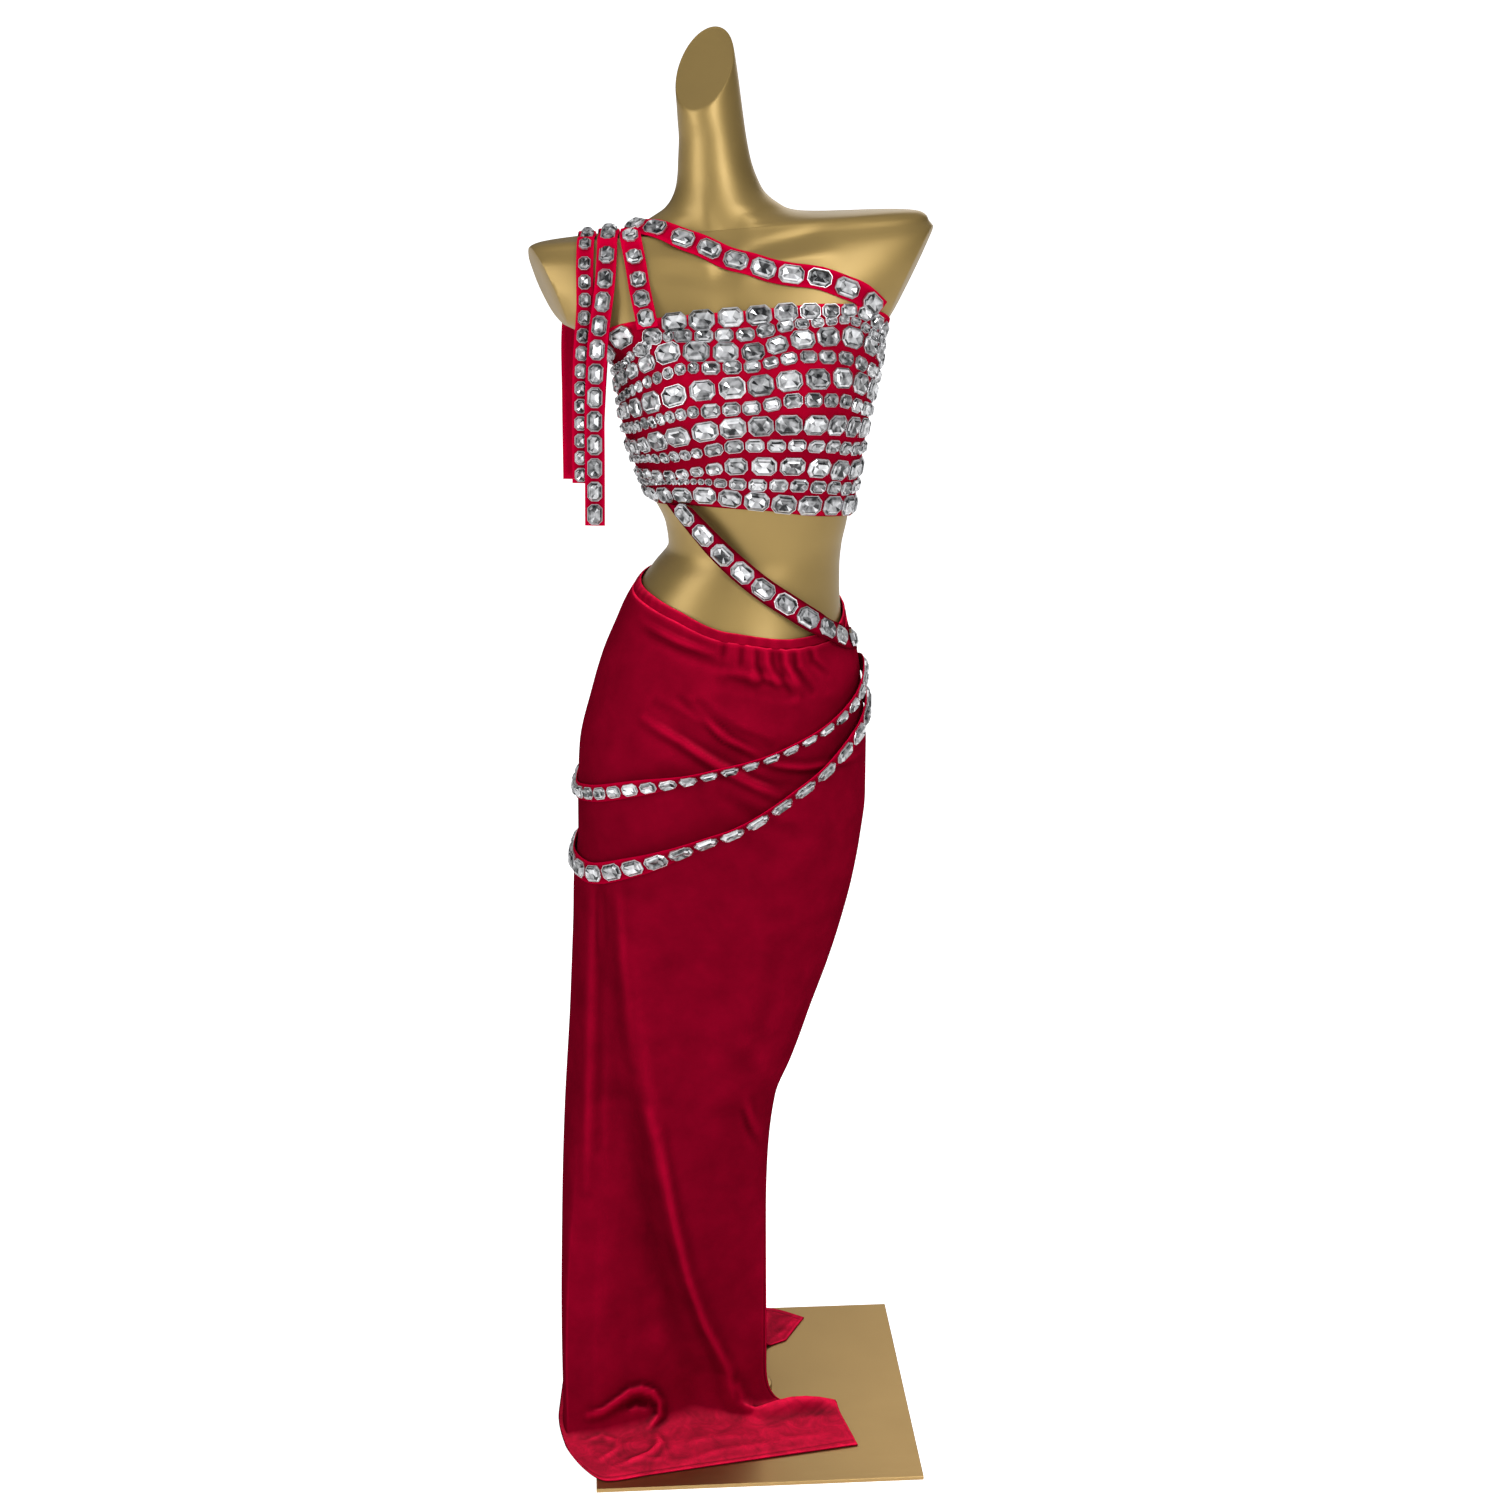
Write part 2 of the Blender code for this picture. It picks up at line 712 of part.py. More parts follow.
def build_strap(name, frames, sizes, material, closed=False):
    """Band of cloth with a raised stone on each cell of its face."""
    width = sizes[0]
    points = []
    faces = []
    for point, side, face in frames:
        points.append(point - side * width / 2)
        points.append(point + side * width / 2)
        points.append(point + side * width / 2 + face * STRAP_THICK)
        points.append(point - side * width / 2 + face * STRAP_THICK)
    count = len(frames)
    cells = count if closed else count - 1
    across = width / 2 - STRAP_EDGE
    for k in range(cells):
        n = (k + 1) % count
        faces.append((4 * k, 4 * k + 1, 4 * n + 1, 4 * n))
        faces.append((4 * k + 1, 4 * k + 2, 4 * n + 2, 4 * n + 1))
        faces.append((4 * k + 3, 4 * k, 4 * n, 4 * n + 3))
        tops = []
        for share, sign in ((STRAP_STONE_ALONG, -1), (STRAP_STONE_ALONG, 1),
                            (1 - STRAP_STONE_ALONG, 1), (1 - STRAP_STONE_ALONG, -1)):
            middle = frames[k][0].lerp(frames[n][0], share)
            side = frames[k][1].lerp(frames[n][1], share)
            face = frames[k][2].lerp(frames[n][2], share)
            tops.append(middle + side * across * sign + face * (STRAP_THICK + STONE_RISE))
        stone_cell(points, faces, (4 * k + 3, 4 * k + 2, 4 * n + 2, 4 * n + 3), tops)
    if not closed:
        last = 4 * (count - 1)
        faces.append((0, 1, 2, 3))
        faces.append((last, last + 1, last + 2, last + 3))
    return make_object(name, points, faces, material, False)


def skirt_point(panel, height, share):
    """Outer point of a skirt panel: share runs from the left seam to the right edge."""
    front = panel == "front"
    left = smooth_value(SKIRT_ROWS, height, 1)
    right = smooth_value(SKIRT_ROWS, height, 2 if front else 3)
    depth = smooth_value(SKIRT_ROWS, height, 4 if front else 5)
    edge_y = smooth_value(SKIRT_ROWS, height, 6 if front else 7)
    square = smooth_value(SKIRT_ROWS, height, 8)
    turn = math.pi * share
    cosine = math.cos(turn)
    power = 2 / square
    x = (left + right) / 2 - (right - left) / 2 * math.copysign(abs(cosine) ** power, cosine)
    y = edge_y * share + (depth - edge_y / 2) * math.sin(turn) ** power
    landing = FRONT_LANDING if front else BACK_LANDING
    fall = ease((FALL_TOP - height) / (FALL_TOP - WALL_FOOT))
    x += (smooth_value(landing, share, 1) - x) * fall
    y += (smooth_value(landing, share, 2) - y) * fall
    return Vector((x, y, height)) * MM


def fold_rise(folds, x, z):
    """Height of all folds at a place seen from the front."""
    rise = 0.0
    for x0, z0, x1, z1, half_width, height in folds:
        run = np.array([x1 - x0, z1 - z0], float)
        to = np.array([x - x0, z - z0], float)
        share = to.dot(run) / run.dot(run)
        nearest = run * min(max(share, 0.0), 1.0)
        gap = np.linalg.norm(to - nearest)
        rise += height * math.exp(-(gap / half_width) ** 2)
    return rise


def seam_inset(share, height):
    """Half of the gap at the side seams, a little wider where the seam nears the floor."""
    if share == 0:
        return SEAT_GAP / 2 + LOW_SEAM_GAP * ease((FALL_TOP - height) / (FALL_TOP - WALL_FOOT))
    if share == 1 and height > SLIT_TOP:
        return SEAT_GAP / 2
    return 0.0


def skirt_grid(panel, columns):
    """Rows of outer points from the casing down to the hem on the plate."""
    front = panel == "front"
    landing = FRONT_LANDING if front else BACK_LANDING
    folds = FRONT_FOLDS if front else BACK_FOLDS
    sign = -1 if front else 1
    shares = [c / columns for c in range(columns + 1)]
    grid = []
    for level in WALL_LEVELS:
        row = []
        for share in shares:
            angle = 180 - 180 * share if front else 180 + 180 * share
            top = angle_value(WAIST_LINE, angle, 1) - CASING_HEIGHT / MM - 0.4
            shift = ease((level - 880) / (WALL_LEVELS[0] - 880)) * (top - WALL_LEVELS[0])
            height = level + shift
            point = skirt_point(panel, height, share)
            fade = math.sin(math.pi * share) ** 0.5 if 0 < share < 1 else 0.0
            out = Vector((0.25 * (share - 0.5), sign, 0)).normalized()
            point += out * fold_rise(folds, point.x / MM, height) * fade * MM
            point.y += sign * seam_inset(share, height)
            row.append(point)
        grid.append(row)
    for step in range(1, 2 * LANDING_STEPS + 1):
        row = []
        for share in shares:
            foot = grid[len(WALL_LEVELS) - 1][shares.index(share)]
            corner = Vector([smooth_value(landing, share, k) * MM for k in (1, 2)] + [FLOOR_LEVEL])
            middle = Vector([smooth_value(landing, share, k) * MM for k in (3, 4)] + [FLOOR_LEVEL])
            hem = Vector([smooth_value(landing, share, k) * MM for k in (5, 6)] + [FLOOR_LEVEL])
            if share == 0:
                for spot in (corner, middle, hem):
                    spot.y += sign * seam_inset(share, WALL_FOOT)
            if step <= LANDING_STEPS:
                t = step / LANDING_STEPS
                bend = (corner + Vector((foot.x, foot.y, FLOOR_LEVEL))) / 2
                row.append(foot * (1 - t) ** 2 + bend * 2 * t * (1 - t) + middle * t * t)
            else:
                t = step / LANDING_STEPS - 1
                row.append(middle.lerp(hem, t))
        grid.append(row)
    return grid


def build_sheet(name, grid, turned, material):
    """Cloth wall: an open surface through a grid of points, made solid inwards."""
    columns = len(grid[0])
    points = [tuple(p) for row in grid for p in row]
    faces = []
    for r in range(len(grid) - 1):
        for c in range(columns - 1):
            a = r * columns + c
            quad = (a, a + 1, a + columns + 1, a + columns)
            faces.append(quad if turned else quad[::-1])
    mesh = bpy.data.meshes.new(name)
    mesh.from_pydata(points, [], faces)
    mesh.materials.append(material)
    mesh.shade_smooth()
    sheet = bpy.data.objects.new(name, mesh)
    collection.objects.link(sheet)
    wall = sheet.modifiers.new("wall", "SOLIDIFY")
    wall.thickness = CLOTH
    wall.offset = -1
    return sheet


def build_casing(tree, material):
    """Rolled casing round the waist: a rounded section swept round the form."""
    rings = []
    for k in range(CASING_STATIONS):
        angle = 360 * k / CASING_STATIONS
        middle = angle_value(WAIST_LINE, angle, 1) - CASING_HEIGHT / MM / 2
        ring = []
        for out, up in CASING_SECTION:
            height = middle + up * CASING_HEIGHT / MM
            normal = torso_normal(height, angle)
            normal.z = 0
            normal.normalize()
            start = torso_point(height, angle) + normal * 50 * MM
            spot, _, _, _ = tree.ray_cast(start, -normal)
            ring.append(spot + normal * (CASING_CLEAR + out * CASING_THICK))
        rings.append(ring)
    points, faces = loft(rings + [rings[0]], close_ends=False)
    total = CASING_STATIONS * len(CASING_SECTION)
    faces = [tuple(i % total for i in face) for face in faces]
    return make_object("waist_casing", points[:total], faces, material, True)


def build_plate(material):
    bpy.ops.mesh.primitive_cube_add(size=1, location=(0, 0, PLATE_THICK / 2))
    plate = bpy.context.object
    plate.name = "base_plate"
    plate.scale = (PLATE_SIDE, PLATE_SIDE, PLATE_THICK)
    plate.rotation_euler = (0, 0, PLATE_TURN)
    bpy.ops.object.transform_apply(location=True, rotation=True, scale=True)
    bevel = plate.modifiers.new("edge", "BEVEL")
    bevel.width = PLATE_EDGE
    bevel.segments = 1
    bpy.ops.object.modifier_apply(modifier="edge")
    plate.data.materials.append(material)
    return plate


def build_pole(material):
    low = PLATE_THICK + SEAT_GAP
    high = FORM_ROWS[0][0] * MM + BORE_DEPTH - SEAT_GAP
    bpy.ops.mesh.primitive_cylinder_add(
        vertices=ROUND_SIDES, radius=POLE_RADIUS, depth=high - low, location=(0, 0, (low + high) / 2)
    )
    pole = bpy.context.object
    pole.name = "form_pole"
    pole.data.materials.append(material)
    pole.data.shade_smooth()
    pole.data.set_sharp_from_angle(angle=math.radians(40))
    return pole


def build_socket(material):
    """Turned collar that holds the pole on the plate."""
    low = PLATE_THICK + SEAT_GAP
    high = low + SOCKET_HEIGHT
    inner = POLE_RADIUS + SEAT_GAP
    shoulder = SOCKET_RADIUS - SOCKET_BEVEL
    profile = [(inner, high), (shoulder, high), (SOCKET_RADIUS, high - SOCKET_BEVEL),
               (SOCKET_RADIUS, low), (inner, low)]
    mesh = bpy.data.meshes.new("pole_socket")
    edges = [(k, (k + 1) % len(profile)) for k in range(len(profile))]
    mesh.from_pydata([(radius, 0, height) for radius, height in profile], edges, [])
    mesh.materials.append(material)
    socket = bpy.data.objects.new("pole_socket", mesh)
    collection.objects.link(socket)
    turn = socket.modifiers.new("turn", "SCREW")
    turn.steps = ROUND_SIDES
    turn.render_steps = ROUND_SIDES
    turn.use_merge_vertices = True
    turn.merge_threshold = 0.00001
    return socket


def hip_line(table, pitch, tree):
    """Closed middle line of a hip strap and its twist at each station."""
    dense = []
    for k in range(181):
        angle = 2 * k
        height = angle_value(table, angle, 1)
        front = angle <= 180
        share = 1 - angle / 180 if front else angle / 180 - 1
        point = skirt_point("front" if front else "back", height, share)
        dense.append(point)
    stations = even_stations(dense, pitch)[:-1]
    run = [0.0]
    for a, b in zip(dense, dense[1:]):
        run.append(run[-1] + (b - a).length)
    twists = []
    for k in range(len(stations)):
        at = run[-1] * k / len(stations)
        angle = float(np.interp(at, run, [2 * i for i in range(181)]))
        twists.append(angle_value(table, angle, 2))
    return stations, twists


clear_scene()
collection = bpy.data.collections.new("crop_top_and_skirt_set")
bpy.context.scene.collection.children.link(collection)
layer = bpy.context.view_layer.layer_collection.children[collection.name]
bpy.context.view_layer.active_layer_collection = layer

gold = make_material("satin gold lacquer", (0.55, 0.4, 0.16), 0.7, 0.35)
brushed = make_material("brushed gold metal", (0.6, 0.46, 0.22), 1.0, 0.3)
velvet = make_material("crimson stretch velvet", (0.35, 0.0, 0.02), 0.0, 0.7)
stoned = make_material("velvet with set stones", (0.6, 0.5, 0.5), 0.2, 0.3)

build_plate(brushed)
build_socket(brushed)
build_pole(brushed)
form = build_form(gold)
form_tree = surface_tree([form])
casing = build_casing(form_tree, velvet)

front_grid = skirt_grid("front", FRONT_COLUMNS)
back_grid = skirt_grid("back", BACK_COLUMNS)
build_sheet("skirt_front", front_grid, False, velvet)
build_sheet("skirt_back", back_grid, True, velvet)

build_top("top_front", 180, 0, True, stoned)
build_top("top_back", 180, 360, False, stoned)

waist_tree = surface_tree([form, casing], [(front_grid, False), (back_grid, True)])
hip_tree = surface_tree([], [(front_grid, False), (back_grid, True)])
sideways = Vector((1, 0, 0.06)).normalized()

for strap_name, path, sizes, tree, facing in (
    ("neck_strap", NECK_PATH, NECK_SIZES, form_tree, None),
    ("shoulder_strap", SHOULDER_PATH, SHOULDER_SIZES, form_tree, sideways),
    ("tie_tail_small", TAIL_SMALL_PATH, TAIL_SMALL_SIZES, form_tree, sideways),
    ("tie_tail_large", TAIL_LARGE_PATH, TAIL_LARGE_SIZES, form_tree, sideways),
    ("waist_strap", WAIST_PATH, WAIST_SIZES, waist_tree, None),
):
    stations = even_stations(curve_points(path, 8), sizes[1])
    frames = strap_frames(stations, tree, sizes[0], False, facing)
    build_strap(strap_name, frames, sizes, stoned)

for strap_name, table, sizes in (
    ("hip_strap_upper", HIP_UPPER, HIP_UPPER_SIZES),
    ("hip_strap_lower", HIP_LOWER, HIP_LOWER_SIZES),
):
    stations, twists = hip_line(table, sizes[1], hip_tree)
    frames = strap_frames(stations, hip_tree, sizes[0], True, twists=twists)
    build_strap(strap_name, frames, sizes, stoned, closed=True)
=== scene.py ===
"""Looks of the crop top and skirt set: stretch velvet with set glass stones on a gold dress form."""
import math

import bmesh
import bpy
import numpy as np
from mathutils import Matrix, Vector
from mathutils.bvhtree import BVHTree


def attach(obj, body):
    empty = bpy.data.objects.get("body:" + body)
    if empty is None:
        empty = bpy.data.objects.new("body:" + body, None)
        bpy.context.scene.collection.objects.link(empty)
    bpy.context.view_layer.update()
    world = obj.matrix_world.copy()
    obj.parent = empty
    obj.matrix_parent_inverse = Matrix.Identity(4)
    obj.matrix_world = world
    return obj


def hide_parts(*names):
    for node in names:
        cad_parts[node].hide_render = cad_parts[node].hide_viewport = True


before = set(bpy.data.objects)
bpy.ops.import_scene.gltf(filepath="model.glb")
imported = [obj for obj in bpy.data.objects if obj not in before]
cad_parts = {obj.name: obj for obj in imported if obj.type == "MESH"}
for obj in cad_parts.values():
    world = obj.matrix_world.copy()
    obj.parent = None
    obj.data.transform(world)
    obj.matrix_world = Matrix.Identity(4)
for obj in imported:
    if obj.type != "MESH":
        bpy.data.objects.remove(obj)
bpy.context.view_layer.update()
MM = 0.001

# Camera at the photograph's angle: a little above the middle, looking down on the whole form.
CAMERA_PLACE = (0, -2.566, 1.674)
CAMERA_TILT = 71.9
SENSOR_WIDTH = 36
FOCAL_LENGTH = 57.6


def linked(name, data):
    """New object in the scene."""
    piece = bpy.data.objects.new(name, data)
    bpy.context.scene.collection.objects.link(piece)
    return piece


lens = bpy.data.cameras.new("camera")
lens.sensor_width = SENSOR_WIDTH
lens.lens = FOCAL_LENGTH
camera = linked("camera", lens)
camera.location = CAMERA_PLACE
camera.rotation_euler = (math.radians(CAMERA_TILT), 0, 0)
bpy.context.scene.camera = camera

# Floor and light: a pale seamless floor, a bright studio with a darker band at eye level
# for the metal and the stones to mirror, and four soft lamps.
FLOOR_SIZE = 400
FLOOR_WHITE = (0.95, 0.95, 0.95, 1)
FLOOR_ROUGHNESS = 0.9
# the floor's glow on the object, and what the camera sees beyond it
FLOOR_GLOW = 0.36
FLOOR_GLOW_SEEN = 0.6
# greys of the studio between level (0) and straight up (1)
STUDIO_GREYS = [
    (0, (0.24, 0.24, 0.24, 1)),
    (0.08, (0.1, 0.1, 0.1, 1)),
    (0.24, (0.15, 0.15, 0.15, 1)),
    (0.5, (0.36, 0.36, 0.36, 1)),
    (1, (0.6, 0.6, 0.62, 1)),
]
STUDIO_STRENGTH = 0.85
BACKDROP_WHITE = (1.15, 1.15, 1.15, 1)
LAMPS = [
    # name, place, target, width, height, watts
    ("lamp_key", (1.0, -2.6, 2.1), (0, 0, 1.0), 0.7, 1.4, 34),
    ("lamp_left", (-2.1, -1.8, 1.7), (0, 0, 1.0), 1.2, 2.0, 30),
    ("lamp_above", (0.1, -0.6, 3.3), (0, 0, 1.0), 1.4, 1.2, 17),
    ("lamp_back", (0.8, 2.4, 2.3), (0, 0, 1.0), 1.6, 1.6, 12),
]


def set_inputs(tree, node, inputs):
    """Inputs of a node by name or number: an output of another node is linked, a value is set."""
    for name, value in inputs.items():
        if isinstance(value, bpy.types.NodeSocket):
            tree.links.new(value, node.inputs[name])
        else:
            node.inputs[name].default_value = value


def add_node(tree, kind, inputs, output=0, **settings):
    """One output of a new node with those inputs and settings."""
    node = tree.nodes.new(f"ShaderNode{kind}")
    for setting, value in settings.items():
        setattr(node, setting, value)
    set_inputs(tree, node, inputs)
    return node.outputs[output]


def colour_ramp(tree, value, stops):
    """Colours along a value, the first at 0 and the last at 1."""
    ramp = tree.nodes.new("ShaderNodeValToRGB")
    tree.links.new(value, ramp.inputs["Fac"])
    first, *middle, last = stops
    ramp.color_ramp.elements[0].color = first[1]
    ramp.color_ramp.elements[1].color = last[1]
    for place, colour in middle:
        ramp.color_ramp.elements.new(place).color = colour
    return ramp.outputs["Color"]


def new_material(name):
    """A fresh material, its node tree and its shader."""
    material = bpy.data.materials.new(name)
    material.use_nodes = True
    return material, material.node_tree, material.node_tree.nodes["Principled BSDF"]


def pale_floor():
    half = FLOOR_SIZE / 2
    mesh = bpy.data.meshes.new("floor")
    corners = [(-half, -half, 0), (half, -half, 0), (half, half, 0), (-half, half, 0)]
    mesh.from_pydata(corners, [], [(0, 1, 2, 3)])
    pale, tree, shader = new_material("pale floor")
    seen = add_node(tree, "LightPath", {}, "Is Camera Ray")
    glow = add_node(tree, "Math", {0: seen, 1: FLOOR_GLOW_SEEN, 2: FLOOR_GLOW}, operation="MULTIPLY_ADD")
    set_inputs(tree, shader, {"Base Color": FLOOR_WHITE, "Roughness": FLOOR_ROUGHNESS,
                              "Emission Color": (1, 1, 1, 1), "Emission Strength": glow})
    mesh.materials.append(pale)
    linked("floor", mesh)


def studio_world():
    world = bpy.data.worlds.new("studio")
    world.use_nodes = True
    tree = world.node_tree
    level = add_node(tree, "SeparateXYZ", {0: add_node(tree, "TexCoord", {}, "Generated")}, "Z")
    greys = colour_ramp(tree, level, STUDIO_GREYS)
    seen = add_node(tree, "LightPath", {}, "Is Camera Ray")
    colour = add_node(tree, "Mix", {"Factor": seen, "A": greys, "B": BACKDROP_WHITE}, "Result",
                      data_type="RGBA")
    set_inputs(tree, tree.nodes["Background"], {"Color": colour, "Strength": STUDIO_STRENGTH})
    bpy.context.scene.world = world


def soft_lamp(name, place, target, width, height, watts):
    light = bpy.data.lights.new(name, "AREA")
    light.shape = "RECTANGLE"
    light.size = width
    light.size_y = height
    light.energy = watts
    lamp = linked(name, light)
    lamp.location = place
    lamp.rotation_euler = (Vector(target) - Vector(place)).to_track_quat("-Z", "Y").to_euler()
    lamp.visible_camera = False
    lamp.visible_glossy = name != "lamp_above"


pale_floor()
studio_world()
for lamp_row in LAMPS:
    soft_lamp(*lamp_row)
bpy.context.scene.view_settings.view_transform = "Standard"

# Base plate: a flat square of gold metal, 5 mm thick with eased edges, brushed along one side.
# The form's pole stands on its middle.
PLATE_GOLD = (0.5, 0.33, 0.135)
PLATE_ROUGHNESS = 0.42
PLATE_TURN = math.radians(3.8)
PLATE_BRUSHING = (0.6, 24, 1)
SCRATCH_SCALE = 60
TARNISH_SCALE = 9


def object_place(tree):
    return add_node(tree, "TexCoord", {}, "Object")


def cloudy(tree, place, scale, detail, roughness=0.5, distortion=0.0):
    """Soft noise between 0 and 1."""
    return add_node(tree, "TexNoise", {"Vector": place, "Scale": scale, "Detail": detail,
                                       "Roughness": roughness, "Distortion": distortion}, "Fac")


def ranged(tree, value, low, high, start=0.0, end=1.0):
    """A value between start and end brought between low and high."""
    return add_node(tree, "MapRange", {"Value": value, "From Min": start, "From Max": end, "To Min": low,
                                       "To Max": high}, "Result")


def two_tone(tree, value, colour, spread):
    """A colour from darker to lighter along a value, by that share either way."""
    dark, light = [(*[share * c for c in colour], 1) for share in (1 - spread, 1 + spread)]
    return add_node(tree, "Mix", {"Factor": value, "A": dark, "B": light}, "Result", data_type="RGBA")


def bumps(tree, height, strength, depth):
    return add_node(tree, "Bump", {"Height": height, "Strength": strength, "Distance": depth}, "Normal")


def brushed_metal(name, colour, roughness, turn, stretch):
    """Metal with fine straight scratches and a slow change of tone."""
    material, tree, shader = new_material(name)
    place = object_place(tree)
    brushing = add_node(tree, "Mapping", {"Vector": place, "Rotation": (0, 0, turn), "Scale": stretch})
    scratches = cloudy(tree, brushing, SCRATCH_SCALE, 4)
    tarnish = cloudy(tree, place, TARNISH_SCALE, 2)
    both = add_node(tree, "Math", {0: scratches, 1: tarnish}, operation="ADD")
    half = add_node(tree, "Math", {0: both, 1: 0.5}, operation="MULTIPLY")
    set_inputs(tree, shader, {
        "Base Color": two_tone(tree, half, colour, 0.14),
        "Roughness": ranged(tree, scratches, roughness - 0.1, roughness + 0.12),
        "Metallic": 1.0,
        "Normal": bumps(tree, scratches, 0.12, 0.0004),
    })
    return material


plate_metal = brushed_metal("brushed gold plate", PLATE_GOLD, PLATE_ROUGHNESS, PLATE_TURN, PLATE_BRUSHING)
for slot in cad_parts["base_plate"].material_slots:
    slot.material = plate_metal

# Pole and collar: a steel tube that carries the form, and the turned collar that seats it on
# the plate. Both are turned round one axis and fixed from below.
POLE_STEEL = (0.55, 0.53, 0.50)
POLE_ROUGHNESS = 0.3
POLE_BRUSHING = (1, 1, 0.02)
POLE_RADIUS = 12.5
POLE_LOW = 5.3
POLE_HIGH = 664.7
POLE_ROUND = 0.8
COLLAR_RADIUS = 27
COLLAR_BORE = 12.8
COLLAR_HIGH = 17.3
COLLAR_ROUND = 2
TURNED_SIDES = 96
TURNED_SHARP = 50


def carried(piece, node=None):
    """Say what a piece rides on and which node it replaces."""
    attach(piece, "root")
    if node:
        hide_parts(node)
    return piece


def solid_piece(name, points, faces, material, sharp, node, cut=None):
    """A closed body through points (mm), its faces outwards, smooth up to an angle."""
    mesh = bpy.data.meshes.new(name)
    mesh.from_pydata((np.array(points) * MM).tolist(), [], faces)
    work = bmesh.new()
    work.from_mesh(mesh)
    bmesh.ops.recalc_face_normals(work, faces=work.faces)
    if cut:
        cut(work)
    work.to_mesh(mesh)
    work.free()
    mesh.shade_smooth()
    mesh.set_sharp_from_angle(angle=math.radians(sharp))
    mesh.materials.append(material)
    return carried(linked(name, mesh), node)


def turned_piece(name, profile, material, node):
    """Body of revolution round the pole's axis from a closed profile of radius and height (mm)."""
    points = []
    faces = []
    rings = []
    for radius, height in profile:
        if radius == 0:
            rings.append([len(points)] * TURNED_SIDES)
            points.append((0, 0, height))
            continue
        rings.append(list(range(len(points), len(points) + TURNED_SIDES)))
        for i in range(TURNED_SIDES):
            turn = math.tau * i / TURNED_SIDES
            points.append((radius * math.cos(turn), radius * math.sin(turn), height))
    for below, above in zip(rings, rings[1:] + rings[:1]):
        for i in range(TURNED_SIDES):
            j = (i + 1) % TURNED_SIDES
            quad = list(dict.fromkeys((below[i], below[j], above[j], above[i])))
            if len(quad) > 2:
                faces.append(quad)
    solid_piece(name, points, faces, material, TURNED_SHARP, node)


def eased_edge(radius, height, size, outward, upward):
    """Quarter round between a side at that radius and a face at that height."""
    turns = [math.radians(a) for a in (0, 30, 60, 90)]
    return [(radius - outward * size * (1 - math.cos(t)), height - upward * size * (1 - math.sin(t)))
            for t in turns]


pole_steel = brushed_metal("brushed pole steel", POLE_STEEL, POLE_ROUGHNESS, 0, POLE_BRUSHING)
pole_profile = [(0, POLE_LOW), *eased_edge(POLE_RADIUS, POLE_LOW, POLE_ROUND, 1, -1)[::-1],
                *eased_edge(POLE_RADIUS, POLE_HIGH, POLE_ROUND, 1, 1), (0, POLE_HIGH)]
turned_piece("pole", pole_profile, pole_steel, "form_pole")
collar_profile = [(COLLAR_BORE, POLE_LOW), (COLLAR_RADIUS, POLE_LOW),
                  *eased_edge(COLLAR_RADIUS, COLLAR_HIGH, COLLAR_ROUND, 1, 1), (COLLAR_BORE, COLLAR_HIGH)]
turned_piece("pole_collar", collar_profile, plate_metal, "pole_socket")

# Dress form: a hollow moulded shell of a trunk from hips to a slanted neck, with both arms cut
# flat, sprayed in satin gold lacquer. It slides down over the pole, which ends in its bore.
FORM_GOLD = (0.36, 0.245, 0.08)
FORM_SIDES = 180
RING_STEP = 5
BORE_DEPTH = 45
SHOULDER_PIVOT = -21
# the underside's rounding: share of the foot's size and drop below the first ring (mm)
FOOT_RISE = 6
UNDERSIDE = [(0.9, 6), (0.95, 5), (0.985, 2.6)]
UNDERSIDE_SHIFT = 40
FORM_SHARP = 38
CLOUD_SCALE = 14
PEEL_SCALE = 420
# height, left, right, front, back, squareness, slope across, slope front to back (mm)
FORM_ROWS = [
    (620, -160, 72, -88, 92, 2.2, 0, 0),
    (640, -176, 86, -102, 108, 2.3, 0, 0),
    (680, -188, 102, -113, 120, 2.3, 0, 0),
    (740, -192, 118, -121, 127, 2.3, 0, 0),
    (790, -190, 124, -124, 128, 2.3, 0, 0),
    (847, -179, 125, -122, 125, 2.3, 0, 0),
    (906, -170, 119, -116, 117, 2.3, 0, 0),
    (952, -157, 113, -108, 108, 2.3, 0, 0),
    (985, -144, 102, -100, 100, 2.3, 0, 0),
    (1010, -133, 99, -94, 93, 2.3, 0, 0),
    (1030, -121, 98, -90, 87, 2.3, 0, 0),
    (1050, -106, 98, -87, 83, 2.3, 0, 0),
    (1075, -89, 100, -83, 78, 2.3, 0, 0),
    (1099, -92, 105, -84, 77, 2.3, 0, 0),
    (1130, -106, 110, -88, 79, 2.3, 0, 0),
    (1170, -122, 116, -96, 82, 2.3, 0, 0),
    (1210, -133, 122, -102, 86, 2.3, 0, 0),
    (1245, -138, 129, -104, 88, 2.3, 0, 0),
    (1275, -143, 135, -100, 88, 2.3, 0, 0),
    (1300, -163, 138, -92, 87, 2.3, 0.025, 0),
    (1325, -206, 158, -81, 82, 2.3, 0.04, 0),
    (1345, -226, 176, -73, 77, 2.3, 0.06, 0),
    (1370, -246, 192, -65, 70, 2.3, 0.07, 0),
    (1392, -250, 196, -56, 61, 2.3, 0.075, 0),
    (1404, -237, 188, -49, 54, 2.3, 0.075, 0),
]
